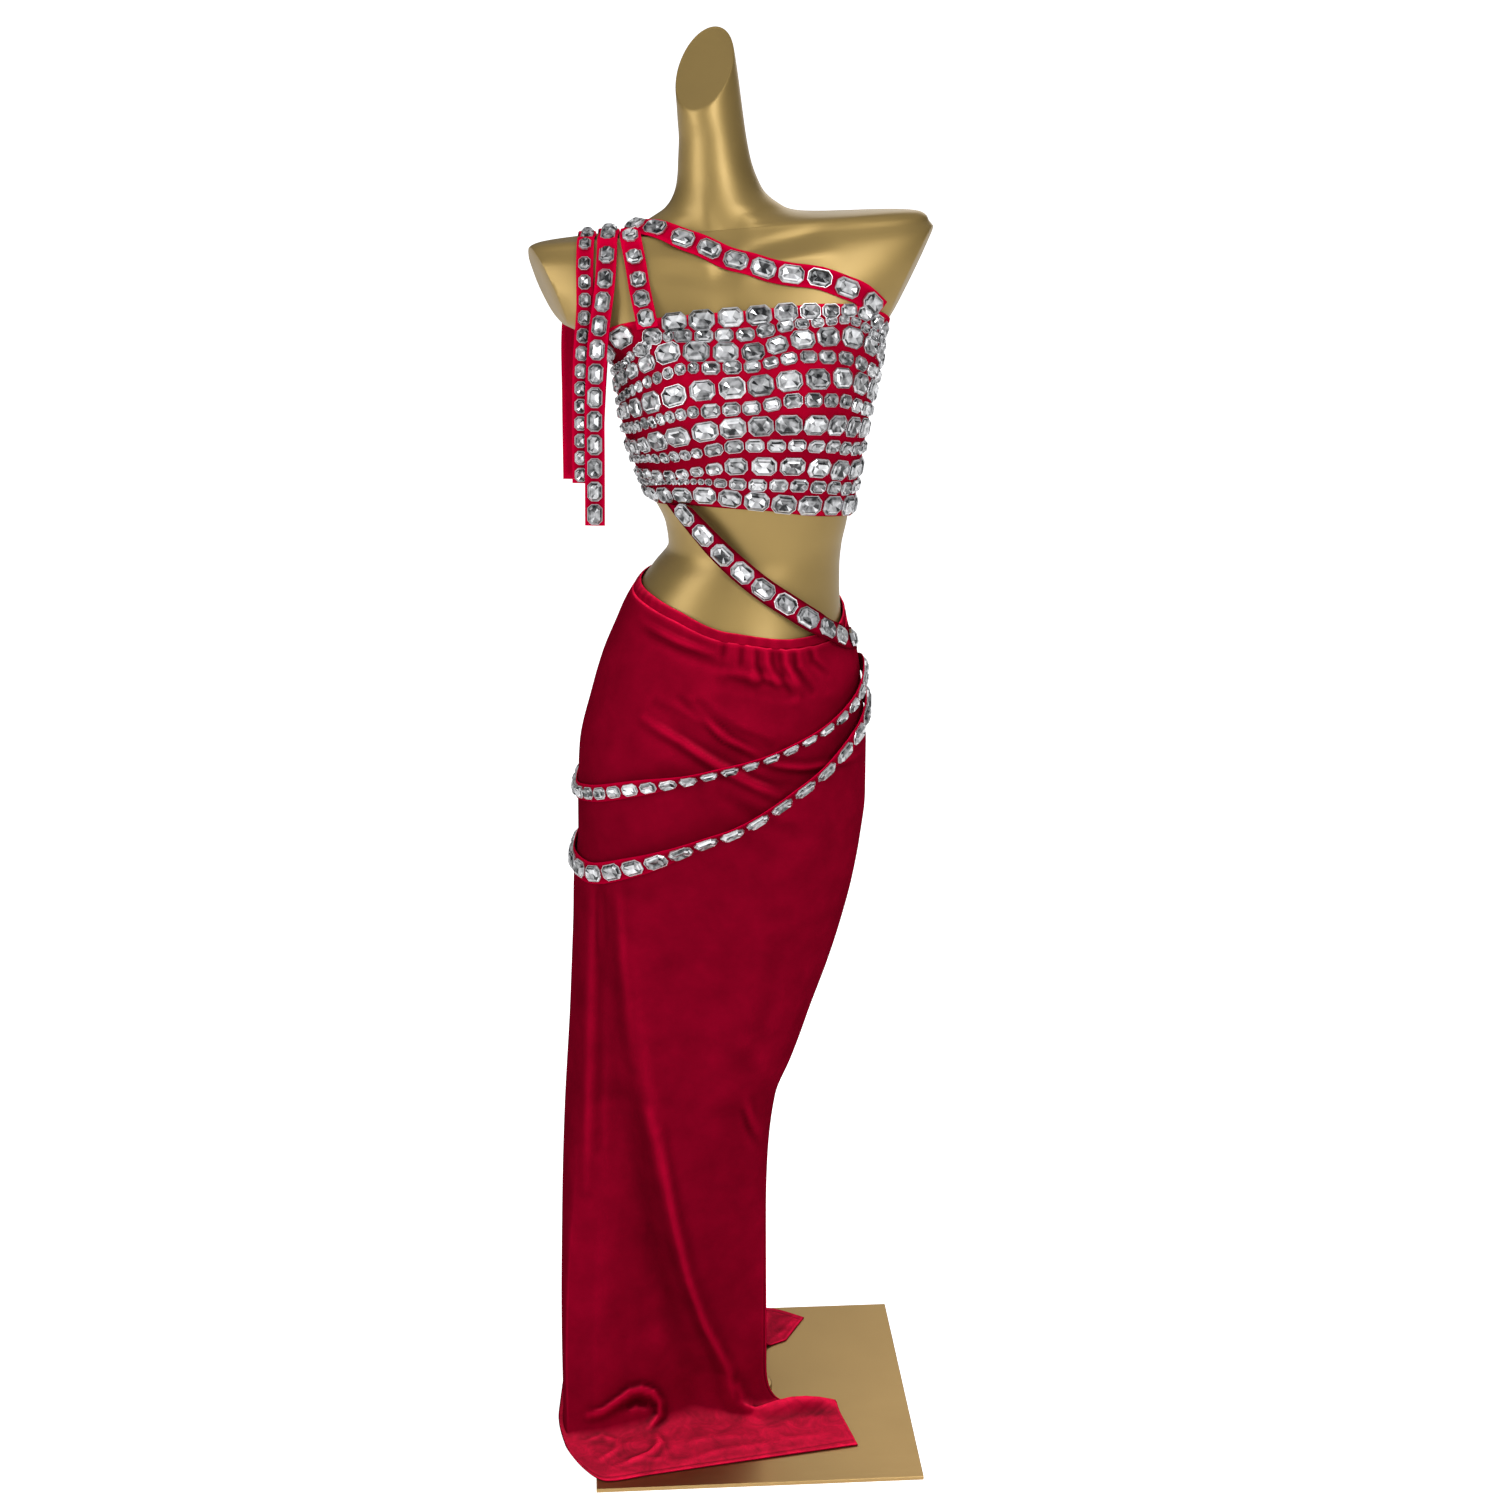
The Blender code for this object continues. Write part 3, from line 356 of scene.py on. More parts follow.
# the same columns, from the shoulder's rounded top to the slanted neck cut
NECK_ROWS = [
    (1411, -227, 184, -45.5, 50, 2.3, 0.075, 0),
    (1414.5, -206, 173, -44, 48.5, 2.2, 0.082, 0),
    (1415.5, -168, 142, -43.5, 48, 2.1, 0.095, 0),
    (1420, -126, 84, -43, 48, 2.0, 0.085, 0),
    (1429, -98, 45, -42.5, 48, 2.0, 0.03, 0),
    (1438, -86, 28, -41.5, 46.5, 2.0, 0.02, 0),
    (1450, -79, 15, -39, 42.5, 2.0, 0, 0),
    (1465, -76, 7, -36, 38, 2.0, 0, 0),
    (1482, -75, 1, -34, 35, 2.0, 0, 0),
    (1506, -74, -4, -33, 33, 2.0, 0.04, 0.1),
    (1532, -75, -8, -33, 33, 2.0, 0.2, 0.4),
    (1560, -76, -12, -33, 33, 2.0, 0.38, 0.85),
    (1584, -77, -16, -32, 33, 2.0, 0.5, 1.15),
    (1586, -75, -18, -30, 31, 2.0, 0.5, 1.15),
]
NECK_STEPS = 6
# flat cut ends of the arms: x and height of the middle, shift of x with height and with depth (mm)
LEFT_CUT = (-220, 1360, -0.39, -0.33)
RIGHT_CUT = (167, 1360, 0.46, 0.2)
ARM_FOOT = 1296
ARM_RIM = 1.8
ARM_REACH = 100
ARM_DOME = 0.35
# bust: centre x, centre height, half width, half height, rise (mm)
BUST_ROWS = [
    (-72, 1238, 50, 52, 18),
    (58, 1238, 50, 52, 18),
]
BUST_FADE = 30
# soft modelling of the chest seen from the front: points of each line (x, height), half width, rise (mm)
CHEST_FORMS = [
    (((-96, 1390), (-66, 1386), (-36, 1377)), 7, 3.0),
    (((-92, 1374), (-62, 1371), (-36, 1362)), 9, -2.4),
    (((-24, 1384), (-24, 1374), (-23, 1364)), 8, -5.0),
    (((-12, 1376), (10, 1382), (44, 1388), (84, 1394)), 7, 2.8),
    (((-8, 1386), (6, 1395), (26, 1400), (48, 1405), (70, 1411)), 7, -3.6),
    (((2, 1366), (40, 1371), (80, 1374)), 10, -2.0),
    (((-52, 1450), (-44, 1420), (-30, 1388)), 9, 1.2),
    (((4, 1440), (-4, 1412), (-16, 1388)), 9, 1.0),
    (((-24, 1350), (-22, 1300), (-20, 1250)), 14, -2.5),
]
CHEST_FADE = 25
# share of the swell that is left out at each end of a crease
CREASE_END = 0.04
# rounds that find the ring at a true height, then steps that give the way the trunk faces (degrees, mm)
LEVEL_PASSES = 4
FACING_TURN = 1
FACING_RISE = 3


def curve_values(table, at, column):
    """Monotone cubic through one column of a table, at an array of places."""
    xs = np.array([row[0] for row in table], float)
    ys = np.array([row[column] for row in table], float)
    at = np.clip(at, xs[0], xs[-1])
    k = np.clip(np.searchsorted(xs, at, side="right") - 1, 0, len(xs) - 2)
    steps = np.diff(xs)
    slopes = np.diff(ys) / steps
    tangents = np.zeros(len(xs))
    tangents[0] = slopes[0]
    tangents[-1] = slopes[-1]
    same = slopes[:-1] * slopes[1:] > 0
    before = 2 * steps[1:] + steps[:-1]
    after = steps[1:] + 2 * steps[:-1]
    low = np.where(same, slopes[:-1], 1)
    high = np.where(same, slopes[1:], 1)
    tangents[1:-1] = np.where(same, (before + after) / (before / low + after / high), 0)
    t = (at - xs[k]) / steps[k]
    start = (1 + 2 * t) * (1 - t) ** 2 * ys[k]
    end = t * t * (3 - 2 * t) * ys[k + 1]
    bend = t * (1 - t) ** 2 * tangents[k] - t * t * (1 - t) * tangents[k + 1]
    return start + end + bend * steps[k]


def run_along(line):
    """Length of a line of points up to each of them."""
    return np.concatenate([[0], np.cumsum(np.linalg.norm(np.diff(line, axis=0), axis=-1))])


def curve_rise(creases, x, z):
    """Height of creases that follow bent lines and fade towards both ends."""
    rise = np.zeros(np.shape(x))
    for line, half_width, height in creases:
        knots = np.array(line, float)
        run = run_along(knots)
        nearest = np.full(np.shape(x), 1e9)
        along = np.zeros(np.shape(x))
        for k, length in enumerate(np.diff(run)):
            step = (knots[k + 1] - knots[k]) / length
            at = np.clip((x - knots[k][0]) * step[0] + (z - knots[k][1]) * step[1], 0, length)
            gap = (x - knots[k][0] - step[0] * at) ** 2 + (z - knots[k][1] - step[1] * at) ** 2
            closer = gap < nearest
            nearest = np.where(closer, gap, nearest)
            along = np.where(closer, (run[k] + at) / run[-1], along)
        fade = np.sqrt(np.clip(np.sin(np.pi * (CREASE_END + (1 - 2 * CREASE_END) * along)), 0, 1))
        rise = rise + height * fade * np.exp(-nearest / half_width ** 2)
    return rise


def form_points(rows, angle, trimmed):
    """Points of the form (mm) for columns of ring sizes and angles from the right through the front."""
    height, left, right, front, back, square, across, along = rows
    turn = np.radians(angle)
    power = 2 / square
    side = np.sign(np.cos(turn)) * np.abs(np.cos(turn)) ** power
    facing = np.sign(np.sin(turn)) * np.abs(np.sin(turn)) ** power
    x = (left + right) / 2 + (right - left) / 2 * side
    y = -np.where(facing > 0, -front, back) * facing
    z = height + across * (x - SHOULDER_PIVOT) + along * y
    for centre, level, half_width, half_height, rise in BUST_ROWS:
        spread = ((x - centre) / half_width) ** 2 + ((z - level) / half_height) ** 2
        y = y - np.where(y < 0, rise * np.exp(-spread) * np.minimum(1, -y / BUST_FADE), 0)
    if trimmed:
        for middle, level, rise_share, depth_share in (LEFT_CUT, RIGHT_CUT):
            limit = middle + rise_share * (z - level) + depth_share * y
            beyond = x < limit if middle < SHOULDER_PIVOT else x > limit
            same_side = (x < SHOULDER_PIVOT) == (middle < SHOULDER_PIVOT)
            x = np.where(beyond & (z > ARM_FOOT) & same_side, limit, x)
    return np.stack(np.broadcast_arrays(x, y, z), -1)


def trunk_rows(height):
    return [height, *[curve_values(FORM_ROWS, height, k) for k in range(1, 8)]]


def trunk_points(height, angle):
    """Points of the form's trunk (mm) at true heights and angles."""
    level = np.array(height, float)
    for _ in range(LEVEL_PASSES):
        level = level + height - form_points(trunk_rows(level), angle, True)[..., 2]
    return form_points(trunk_rows(level), angle, True)


def trunk_normals(height, angle):
    along = trunk_points(height, angle + FACING_TURN) - trunk_points(height, angle - FACING_TURN)
    up = trunk_points(height + FACING_RISE, angle) - trunk_points(height - FACING_RISE, angle)
    normal = np.cross(up, along)
    return normal / np.linalg.norm(normal, axis=-1, keepdims=True)


def smooth_between(a, b, c, d, t):
    """Point a share t of the way from b to c on the smooth curve through four points or rows."""
    return (b * 2 + (c - a) * t + (a * 2 - b * 5 + c * 4 - d) * t * t + (b * 3 - a - c * 3 + d) * t ** 3) / 2


def neck_rings():
    """Ring sizes between the shoulder's top and the neck cut, on smooth curves."""
    rows = np.array([FORM_ROWS[-2], FORM_ROWS[-1], *NECK_ROWS, NECK_ROWS[-1]], float)
    return [smooth_between(*rows[k - 1:k + 3], i / NECK_STEPS)
            for k in range(1, len(rows) - 2) for i in range(1, NECK_STEPS + 1)]


def loop_faces(start, loops, count, joined=False):
    """Quads between closed loops of points, numbered from start, and where joined from last to first."""
    faces = []
    for k in range(loops if joined else loops - 1):
        low = start + k * count
        high = start + (k + 1) % loops * count
        for i in range(count):
            j = (i + 1) % count
            faces.append((low + i, low + j, high + j, high + i))
    return faces


def closed_loft(rings, joined=False):
    """Points and faces between closed rings of one count, with both ends capped or joined to each other."""
    count = len(rings[0])
    faces = loop_faces(0, len(rings), count, joined)
    if not joined:
        faces.append(tuple(range(count)))
        faces.append(tuple((len(rings) - 1) * count + i for i in range(count)))
    return np.concatenate(rings), faces


def cut_arm(work, middle, level, rise_share, depth_share):
    """Cut an arm flat, close the cut and ease its rim."""
    outward = -1 if middle < SHOULDER_PIVOT else 1
    normal = Vector((1, -depth_share, -rise_share)).normalized() * outward
    faces = [f for f in work.faces if f.calc_center_median().z > ARM_FOOT * MM
             and (f.calc_center_median().x - SHOULDER_PIVOT * MM) * outward > ARM_REACH * MM]
    edges = list({e for f in faces for e in f.edges})
    verts = list({v for f in faces for v in f.verts})
    point = Vector((middle, 0, level)) * MM
    bmesh.ops.bisect_plane(work, geom=faces + edges + verts, dist=1e-6, plane_co=point, plane_no=normal,
                           clear_outer=True)
    rim = [e for e in work.edges if e.is_boundary]
    cap = bmesh.ops.holes_fill(work, edges=rim, sides=0)["faces"]
    bmesh.ops.inset_region(work, faces=cap, thickness=ARM_RIM * MM, depth=0)
    for face in cap:
        for vert in face.verts:
            vert.co += normal * ARM_RIM * ARM_DOME * MM


def cut_arms(work):
    cut_arm(work, *LEFT_CUT)
    cut_arm(work, *RIGHT_CUT)


def gold_lacquer():
    """Satin gold paint: tiny orange-peel bumps and slow changes of tone."""
    material, tree, shader = new_material("satin gold lacquer")
    place = object_place(tree)
    clouds = cloudy(tree, place, CLOUD_SCALE, 3)
    peel = cloudy(tree, place, PEEL_SCALE, 2)
    set_inputs(tree, shader, {
        "Base Color": two_tone(tree, clouds, FORM_GOLD, 0.1),
        "Roughness": ranged(tree, clouds, 0.42, 0.5),
        "Metallic": 0.8,
        "Coat Weight": 0.25,
        "Coat Roughness": 0.32,
        "Normal": bumps(tree, peel, 0.1, 0.0003),
    })
    return material


def dress_form_piece():
    angles = np.arange(FORM_SIDES) * 360 / FORM_SIDES
    foot, crown = FORM_ROWS[0][0], FORM_ROWS[-1][0]
    levels = [foot + FOOT_RISE, *np.arange(foot + 2 * RING_STEP, crown, RING_STEP), crown]
    rows = [trunk_rows(np.array(level, float)) for level in levels] + neck_rings()
    rings = [form_points(row, angles, False) for row in rows]
    for ring in rings:
        fade = np.clip(-ring[:, 1] / CHEST_FADE, 0, 1)
        ring[:, 1] -= curve_rise(CHEST_FORMS, ring[:, 0], ring[:, 2]) * fade
    under = []
    for shrink, drop in UNDERSIDE:
        ring = rings[0] * (shrink, shrink, 1) - (UNDERSIDE_SHIFT * (1 - shrink), 0, 0)
        ring[:, 2] = foot + FOOT_RISE - drop
        under.append(ring)
    bore = []
    for depth in (BORE_DEPTH, 0):
        turn = np.radians(angles)
        height = np.full(FORM_SIDES, foot + depth)
        bore.append(np.stack([COLLAR_BORE * np.cos(turn), -COLLAR_BORE * np.sin(turn), height], -1))
    points, faces = closed_loft(bore + under + rings)
    return solid_piece("form_shell", points, faces, gold_lacquer(), FORM_SHARP, "dress_form",
                       cut_arms)


form_shell = dress_form_piece()

# Crop top: two panels of crimson stretch velvet, front and back, seamed at both sides and held
# up by the straps. Eleven rows of glass stones in silver settings are sewn on from the outside.
VELVET_RED = (0.22, 0.0005, 0.011)
# painted light and shade: the way towards which the cloth is painted lightest
PAINTED_LIGHT_SIDE = (0.2, -0.4, 0.62)
# painted light and shade: tones from the side turned away to the side turned towards that way, and how far
# the cloth faces that way at each
SIDE_LIGHT_TONES = (0.3, 2.19)
SIDE_LIGHT_TURNS = (-0.6, 0.9)
# painted shade and highlight of creases: tones from the painted shade in a crease's bottom to the painted
# highlight on its crest, and how sharp the bend is at each
CREASE_SHADE_TONES = (0.35, 1.65)
CREASE_SHADE_BENDS = (0.465, 0.535)
# painted light on cloth that faces up: how level the cloth is where it starts and ends, and the tones that it
# adds, uneven in crushed patches
LIT_TOP_LEVELS = (0.5, 0.95)
CRUSHED_LIT_TONES = (1.0, 4.2)
# paler painted sheen where the cloth faces up
PAINTED_TOP_SHEEN = (0.01, 0.0085, 0.009)
NAP_SCALE = 1500
NAP_SHARE = 0.25
PATCH_SCALE = 26
CRUSH_SCALE = 34
TOP_CLEAR = 1.6
TOP_WALL = 1.8
TOP_COLUMNS = 150
TOP_LEVELS = 60
SEAM_GAP = 0.5
# height at which a panel's width is measured (mm)
TOP_MIDDLE = 1215.0
# angle, top height, bottom height (degrees from the right side through the front, mm)
TOP_EDGES = [
    (0, 1313, 1107),
    (30, 1331, 1115),
    (60, 1342, 1122),
    (90, 1334, 1131),
    (120, 1323, 1134),
    (150, 1303, 1130),
    (180, 1286, 1128),
    (210, 1284, 1122),
    (240, 1287, 1114),
    (270, 1291, 1108),
    (300, 1295, 1104),
    (330, 1301, 1104),
    (360, 1313, 1107),
]
# heights of the stone rows round the front at each angle (degrees, then mm)
STONE_ROWS = [
    (0, 1303, 1288, 1272, 1255, 1238, 1221, 1202, 1182, 1161, 1141, 1119),
    (30, 1322, 1311, 1298, 1275, 1257, 1235, 1214, 1190, 1166, 1146, 1127),
    (50, 1335, 1325, 1309, 1288, 1268, 1247, 1222, 1199, 1174, 1153, 1132),
    (70, 1334, 1321, 1306, 1290, 1269, 1250, 1226, 1204, 1180, 1158, 1136),
    (90, 1328, 1311, 1295, 1281, 1262, 1242, 1223, 1203, 1181, 1160, 1142),
    (110, 1321, 1310, 1296, 1280, 1258, 1239, 1217, 1196, 1175, 1163, 1147),
    (130, 1309, 1296, 1284, 1267, 1246, 1227, 1206, 1187, 1167, 1160, 1145),
    (150, 1296, 1280, 1268, 1250, 1233, 1214, 1193, 1180, 1163, 1154, 1140),
    (180, 1276, 1261, 1246, 1229, 1217, 1202, 1184, 1170, 1156, 1148, 1138),
]
ROW_COUNT = len(STONE_ROWS[0]) - 1
# length, width and pitch of the stones in a wide row, a narrow row and a crowded narrow row (mm)
WIDE_STONE = (27, 21.5, 29.2)
NARROW_STONE = (19.5, 14.5, 21.5)
CROWDED_STONE = (12, 12.5, 13)
ROW_ROOM = 18.5
LEAST_SCALE = 0.55
# angles between which the shoulder strap's foot takes the place of the top row's stones
STRAP_FOOT = (119, 109)
# stones set singly below the strap's foot: angle, height, length, width (degrees, then mm)
SINGLE_STONES = [(116, 1310, 21, 17), (127, 1297, 17, 15)]
CROWDED_FROM = 112
# step-cut stone: inset from the girdle as a share of the half width, height as a share of the rise
STONE_STEPS = [(0.0, -0.12), (0.0, 0.3), (0.13, 0.56), (0.27, 0.8), (0.42, 1.0)]
STONE_RISE = 5.0
STONE_CORNER = 0.52
# how fast an eight-sided outline's corner shortens as the outline shrinks
CORNER_SHRINK = 0.586
KEEL_DROP = 1.3
KEEL_SHARE = 0.75
# painted reflections: greys of the facets round the crown and inside the table
CROWN_REFLECTION_GREYS = (0.92, 0.7, 0.5, 0.36, 0.26, 0.18, 0.1, 0.04)
# painted reflections: greys of the table's long sides, corners and ends; one row is picked for each stone
TABLE_REFLECTION_GREYS = [
    (0.82, 0.22, 0.56),
    (0.34, 0.84, 0.14),
    (0.6, 0.06, 0.86),
    (0.24, 0.66, 0.42),
    (0.46, 0.14, 0.76),
    (0.1, 0.86, 0.3),
]
# some stones' painted reflections are darker than others as a whole, at random
STONE_DEPTHS = (0.66, 0.84, 1.0, 1.0, 1.16)
TABLE_JITTER = 0.3
# colours of the painted reflections, from the darkest grey to the lightest
GLASS_GREYS = [(0, (0.015, 0.016, 0.018, 1)), (1, (0.93, 0.94, 0.96, 1))]
SETTING_SILVER = (0.66, 0.66, 0.68)
SETTING_TONE = 0.8
SETTING_WALL = 0.55
SETTING_RISE = 1.9
# section of a setting: how far out from the stone's girdle, and height (mm)
SETTING_STEPS = [(SETTING_WALL, -0.8), (SETTING_WALL, SETTING_RISE * 0.8), (SETTING_WALL * 0.6, SETTING_RISE),
                 (-0.1, SETTING_RISE)]
# hand sewing: how far a stone strays from its place, how its size varies, and the least room between two (mm)
PLACE_JITTER = 0.8
SIZE_JITTER = 0.05
STONE_ROOM = 0.8
# where a row starts, and how far past the seam its last stone may reach (mm)
ROW_START = 1.0
ROW_OVERRUN = 3
# points over which a row and a panel's width are measured
ROW_SAMPLES = 361
WIDTH_SAMPLES = 181
# how far each way a stone's direction is measured: in a row (mm), and set singly (degrees)
STONE_REACH = 2
STONE_TURN = 2.0
LEAST_CORNER = 0.2
stone_random = np.random.default_rng(41)


def velvet(name, colour, mottle, lit_top_share):
    """Stretch velvet: a short pile that lies in soft patches, with a light sheen, and painted light and
    shade: lighter on one side, on crease crests and where it faces up, darker in crease bottoms.
    """
    material, tree, shader = new_material(name)
    place = object_place(tree)
    shape = tree.nodes.new("ShaderNodeNewGeometry")
    nap = cloudy(tree, place, NAP_SCALE, 1)
    patches = ranged(tree, cloudy(tree, place, PATCH_SCALE, 4, 0.6), 0, 1, 0.3, 0.7)
    dyed = two_tone(tree, patches, colour, mottle)
    grain = add_node(tree, "Mix", {"Factor": NAP_SHARE, "A": dyed, "B": nap}, "Result", data_type="RGBA",
                     blend_type="MULTIPLY")
    # painted light and shade: the cloth is lighter where it faces the lit side and darker where it faces away
    turned = add_node(tree, "VectorMath", {0: shape.outputs["Normal"], 1: PAINTED_LIGHT_SIDE}, "Value",
                      operation="DOT_PRODUCT")
    side_light = ranged(tree, turned, *SIDE_LIGHT_TONES, *SIDE_LIGHT_TURNS)
    # painted highlight on crease crests and painted shade in crease bottoms, from how sharply the cloth bends
    crease_shade = ranged(tree, shape.outputs["Pointiness"], *CREASE_SHADE_TONES, *CREASE_SHADE_BENDS)
    # painted light where the cloth faces up, brighter in crushed patches
    upward = add_node(tree, "SeparateXYZ", {0: shape.outputs["Normal"]}, "Z")
    lit_top = ranged(tree, upward, 0, lit_top_share, *LIT_TOP_LEVELS)
    crushed_lit = ranged(tree, cloudy(tree, place, CRUSH_SCALE, 5, 0.7, 1.2), *CRUSHED_LIT_TONES, 0.32, 0.68)
    lit_patch = add_node(tree, "Math", {0: crushed_lit, 1: lit_top, 2: side_light}, operation="MULTIPLY_ADD")
    # painted light and shade of the sides, of the faces turned up and of the creases, together
    painted_light = add_node(tree, "Math", {0: lit_patch, 1: crease_shade}, operation="MULTIPLY")
    lit = add_node(tree, "VectorMath", {0: grain, "Scale": painted_light}, "Vector", operation="SCALE")
    # paler painted sheen where the cloth faces up
    pale = add_node(tree, "VectorMath", {0: PAINTED_TOP_SHEEN, "Scale": lit_top}, "Vector", operation="SCALE")
    set_inputs(tree, shader, {
        "Base Color": add_node(tree, "VectorMath", {0: lit, 1: pale}, "Vector", operation="ADD"),
        "Roughness": ranged(tree, patches, 0.5, 0.68),
        "Sheen Weight": 0.05,
        "Sheen Roughness": 0.35,
        "Sheen Tint": (1.0, 0.03, 0.1, 1),
        "Specular IOR Level": 0.0,
        "Specular Tint": (1.0, 0.12, 0.22, 1),
        "Normal": bumps(tree, nap, 0.25, 0.0004),
    })
    return material


def cut_glass():
    """Foil-backed glass: each facet has its own painted grey that stands in for the room it mirrors."""
    material, tree, shader = new_material("foil-backed glass")
    # painted reflection grey of each facet, with a little random shift
    facet_reflection = add_node(tree, "Attribute", {}, "Fac", attribute_name="tone")
    inside = cloudy(tree, object_place(tree), 160, 1)
    shift = ranged(tree, inside, -0.24, 0.2, 0.3, 0.7)
    total = add_node(tree, "Math", {0: facet_reflection, 1: shift}, operation="ADD")
    set_inputs(tree, shader, {
        "Base Color": colour_ramp(tree, total, GLASS_GREYS),
        "Roughness": ranged(tree, inside, 0.05, 0.14),
        "Metallic": 0.3,
        "Coat Weight": 0.3,
        "Coat Roughness": 0.03,
    })
    return material


def jitter(size):
    return (stone_random.random() - 0.5) * size


def octagon(half_length, half_width, corner, height):
    a, b, c = half_length, half_width, max(corner, LEAST_CORNER)
    quarter = [(a, b - c), (a - c, b)]
    half = quarter + [(-x, y) for x, y in quarter[::-1]]
    return [(x, y, height) for x, y in half + [(x, -y) for x, y in half[::-1]]]


def stone_mesh(length, width, rise):
    """One set stone about its middle (mm): points, faces, tones and which faces are the setting."""
    half_length = length / 2 - SETTING_WALL
    half_width = width / 2 - SETTING_WALL
    corner = half_width * STONE_CORNER
    points = []
    for inset, level in STONE_STEPS:
        d = inset * half_width
        points += octagon(half_length - d, half_width - d, corner - d * CORNER_SHRINK, level * rise)
    faces = loop_faces(0, len(STONE_STEPS), 8)
    # painted reflection grey of each crown facet
    tones = [stone_random.choice(CROWN_REFLECTION_GREYS) for _ in faces]
    last = (len(STONE_STEPS) - 1) * 8
    keel = max(half_length - half_width, 0) * KEEL_SHARE
    points += [(keel, 0, rise - KEEL_DROP), (-keel, 0, rise - KEEL_DROP)]
    right, left = last + 8, last + 9
    table = [(0, 1, right), (1, 2, left, right), (2, 3, left), (3, 4, left),
             (4, 5, left), (5, 6, right, left), (6, 7, right), (7, 0, right)]
    picked = TABLE_REFLECTION_GREYS[stone_random.integers(len(TABLE_REFLECTION_GREYS))]
    for k, face in enumerate(table):
        faces.append(tuple(last + p if p < 8 else p for p in face))
        tones.append(picked[(2, 0, 1, 2)[k % 4]] + jitter(TABLE_JITTER))
    stone_faces = len(faces)
    faces += loop_faces(len(points), len(SETTING_STEPS), 8)
    for grow, level in SETTING_STEPS:
        points += octagon(half_length + grow, half_width + grow, corner + grow * CORNER_SHRINK, level)
    tones += [SETTING_TONE] * (len(faces) - stone_faces)
    return np.array(points), faces, tones, stone_faces


def stones_piece(name, places, depth=1.0):
    """All stones of one piece, joined: places holds origin, along, out (mm) and length, width."""
    points = []
    faces = []
    tones = []
    metal = []
    for origin, along, out, length, width in places:
        along = along - out * along.dot(out)
        along = along / np.linalg.norm(along)
        across = np.cross(out, along)
        own, own_faces, own_tones, stone_faces = stone_mesh(length, width, STONE_RISE)
        start = sum(len(p) for p in points)
        points.append(origin + own[:, :1] * along + own[:, 1:2] * across + own[:, 2:] * out)
        faces += [tuple(start + i for i in face) for face in own_faces]
        # painted shade: each stone's painted reflections darkened as a whole, for the tails and at random
        own_reflection_shade = depth * stone_random.choice(STONE_DEPTHS)
        tones += [tone * own_reflection_shade for tone in own_tones]
        metal += [int(k >= stone_faces) for k in range(len(own_faces))]
    mesh = bpy.data.meshes.new(name)
    mesh.from_pydata((np.concatenate(points) * MM).tolist(), [], faces)
    mesh.materials.append(stone_glass)
    mesh.materials.append(setting_silver)
    mesh.polygons.foreach_set("material_index", metal)
    mesh.attributes.new("tone", "FLOAT", "FACE").data.foreach_set("value", tones)
    return carried(linked(name, mesh))


def cloth_object(name, grid, faces, material, wall, node):
    """A sheet of cloth through outer points (mm), made solid inwards and applied."""
    mesh = bpy.data.meshes.new(name)
    mesh.from_pydata((grid.reshape(-1, 3) * MM).tolist(), [], faces)
    mesh.materials.append(material)
    mesh.shade_smooth()
    piece = linked(name, mesh)
    thick = piece.modifiers.new("wall", "SOLIDIFY")
    thick.thickness = wall * MM
    thick.offset = -1
    graph = bpy.context.evaluated_depsgraph_get()
    solid = bpy.data.meshes.new_from_object(piece.evaluated_get(graph))
    piece.modifiers.clear()
    piece.data = solid
    piece["outer_faces"] = len(faces)
    return carried(piece, node)


def grid_faces(rows, columns, turned):
    faces = []
    for r in range(rows - 1):
        for c in range(columns - 1):
            a = r * columns + c
            quad = (a, a + 1, a + columns + 1, a + columns)
            faces.append(quad if turned else quad[::-1])
    return faces


def around_values(table, angle, column):
    """Value at an angle from a table that goes once round, without a kink where it closes."""
    lap = [(row[0] - 360, *row[1:]) for row in table[-4:-1]]
    next_lap = [(row[0] + 360, *row[1:]) for row in table[1:4]]
    return curve_values(lap + table + next_lap, angle, column)


def top_edges(angle):
    """Heights of the top's upper and lower edge."""
    return around_values(TOP_EDGES, angle, 1), around_values(TOP_EDGES, angle, 2)


def row_height(k, angle):
    """Height of stone row k: measured in front, kept at the same shares of the panel behind."""
    front = curve_values(STONE_ROWS, angle, k + 1)
    shares = []
    for end in (180, 0):
        top, bottom = top_edges(end)
        shares.append((top - curve_values(STONE_ROWS, end, k + 1)) / (top - bottom))
    share = shares[0] + (shares[1] - shares[0]) * (angle - 180) / 180
    top, bottom = top_edges(angle)
    return np.where(angle <= 180, front, top - share * (top - bottom))


def row_room(k, angles):
    """Share of the full stone size that fits between row k and its nearer neighbour."""
    own = trunk_points(row_height(k, angles), angles)
    rooms = []
    for near in (k - 1, k + 1):
        if 0 <= near < ROW_COUNT:
            rooms.append(np.linalg.norm(trunk_points(row_height(near, angles), angles) - own, axis=-1))
    return np.clip(np.min(rooms, axis=0) / ROW_ROOM, LEAST_SCALE, 1)


def on_top(height, angle):
    """Points on the outside of the top (mm), and the way that each faces."""
    out = trunk_normals(height, angle)
    return trunk_points(height, angle) + out * (TOP_CLEAR + TOP_WALL), out


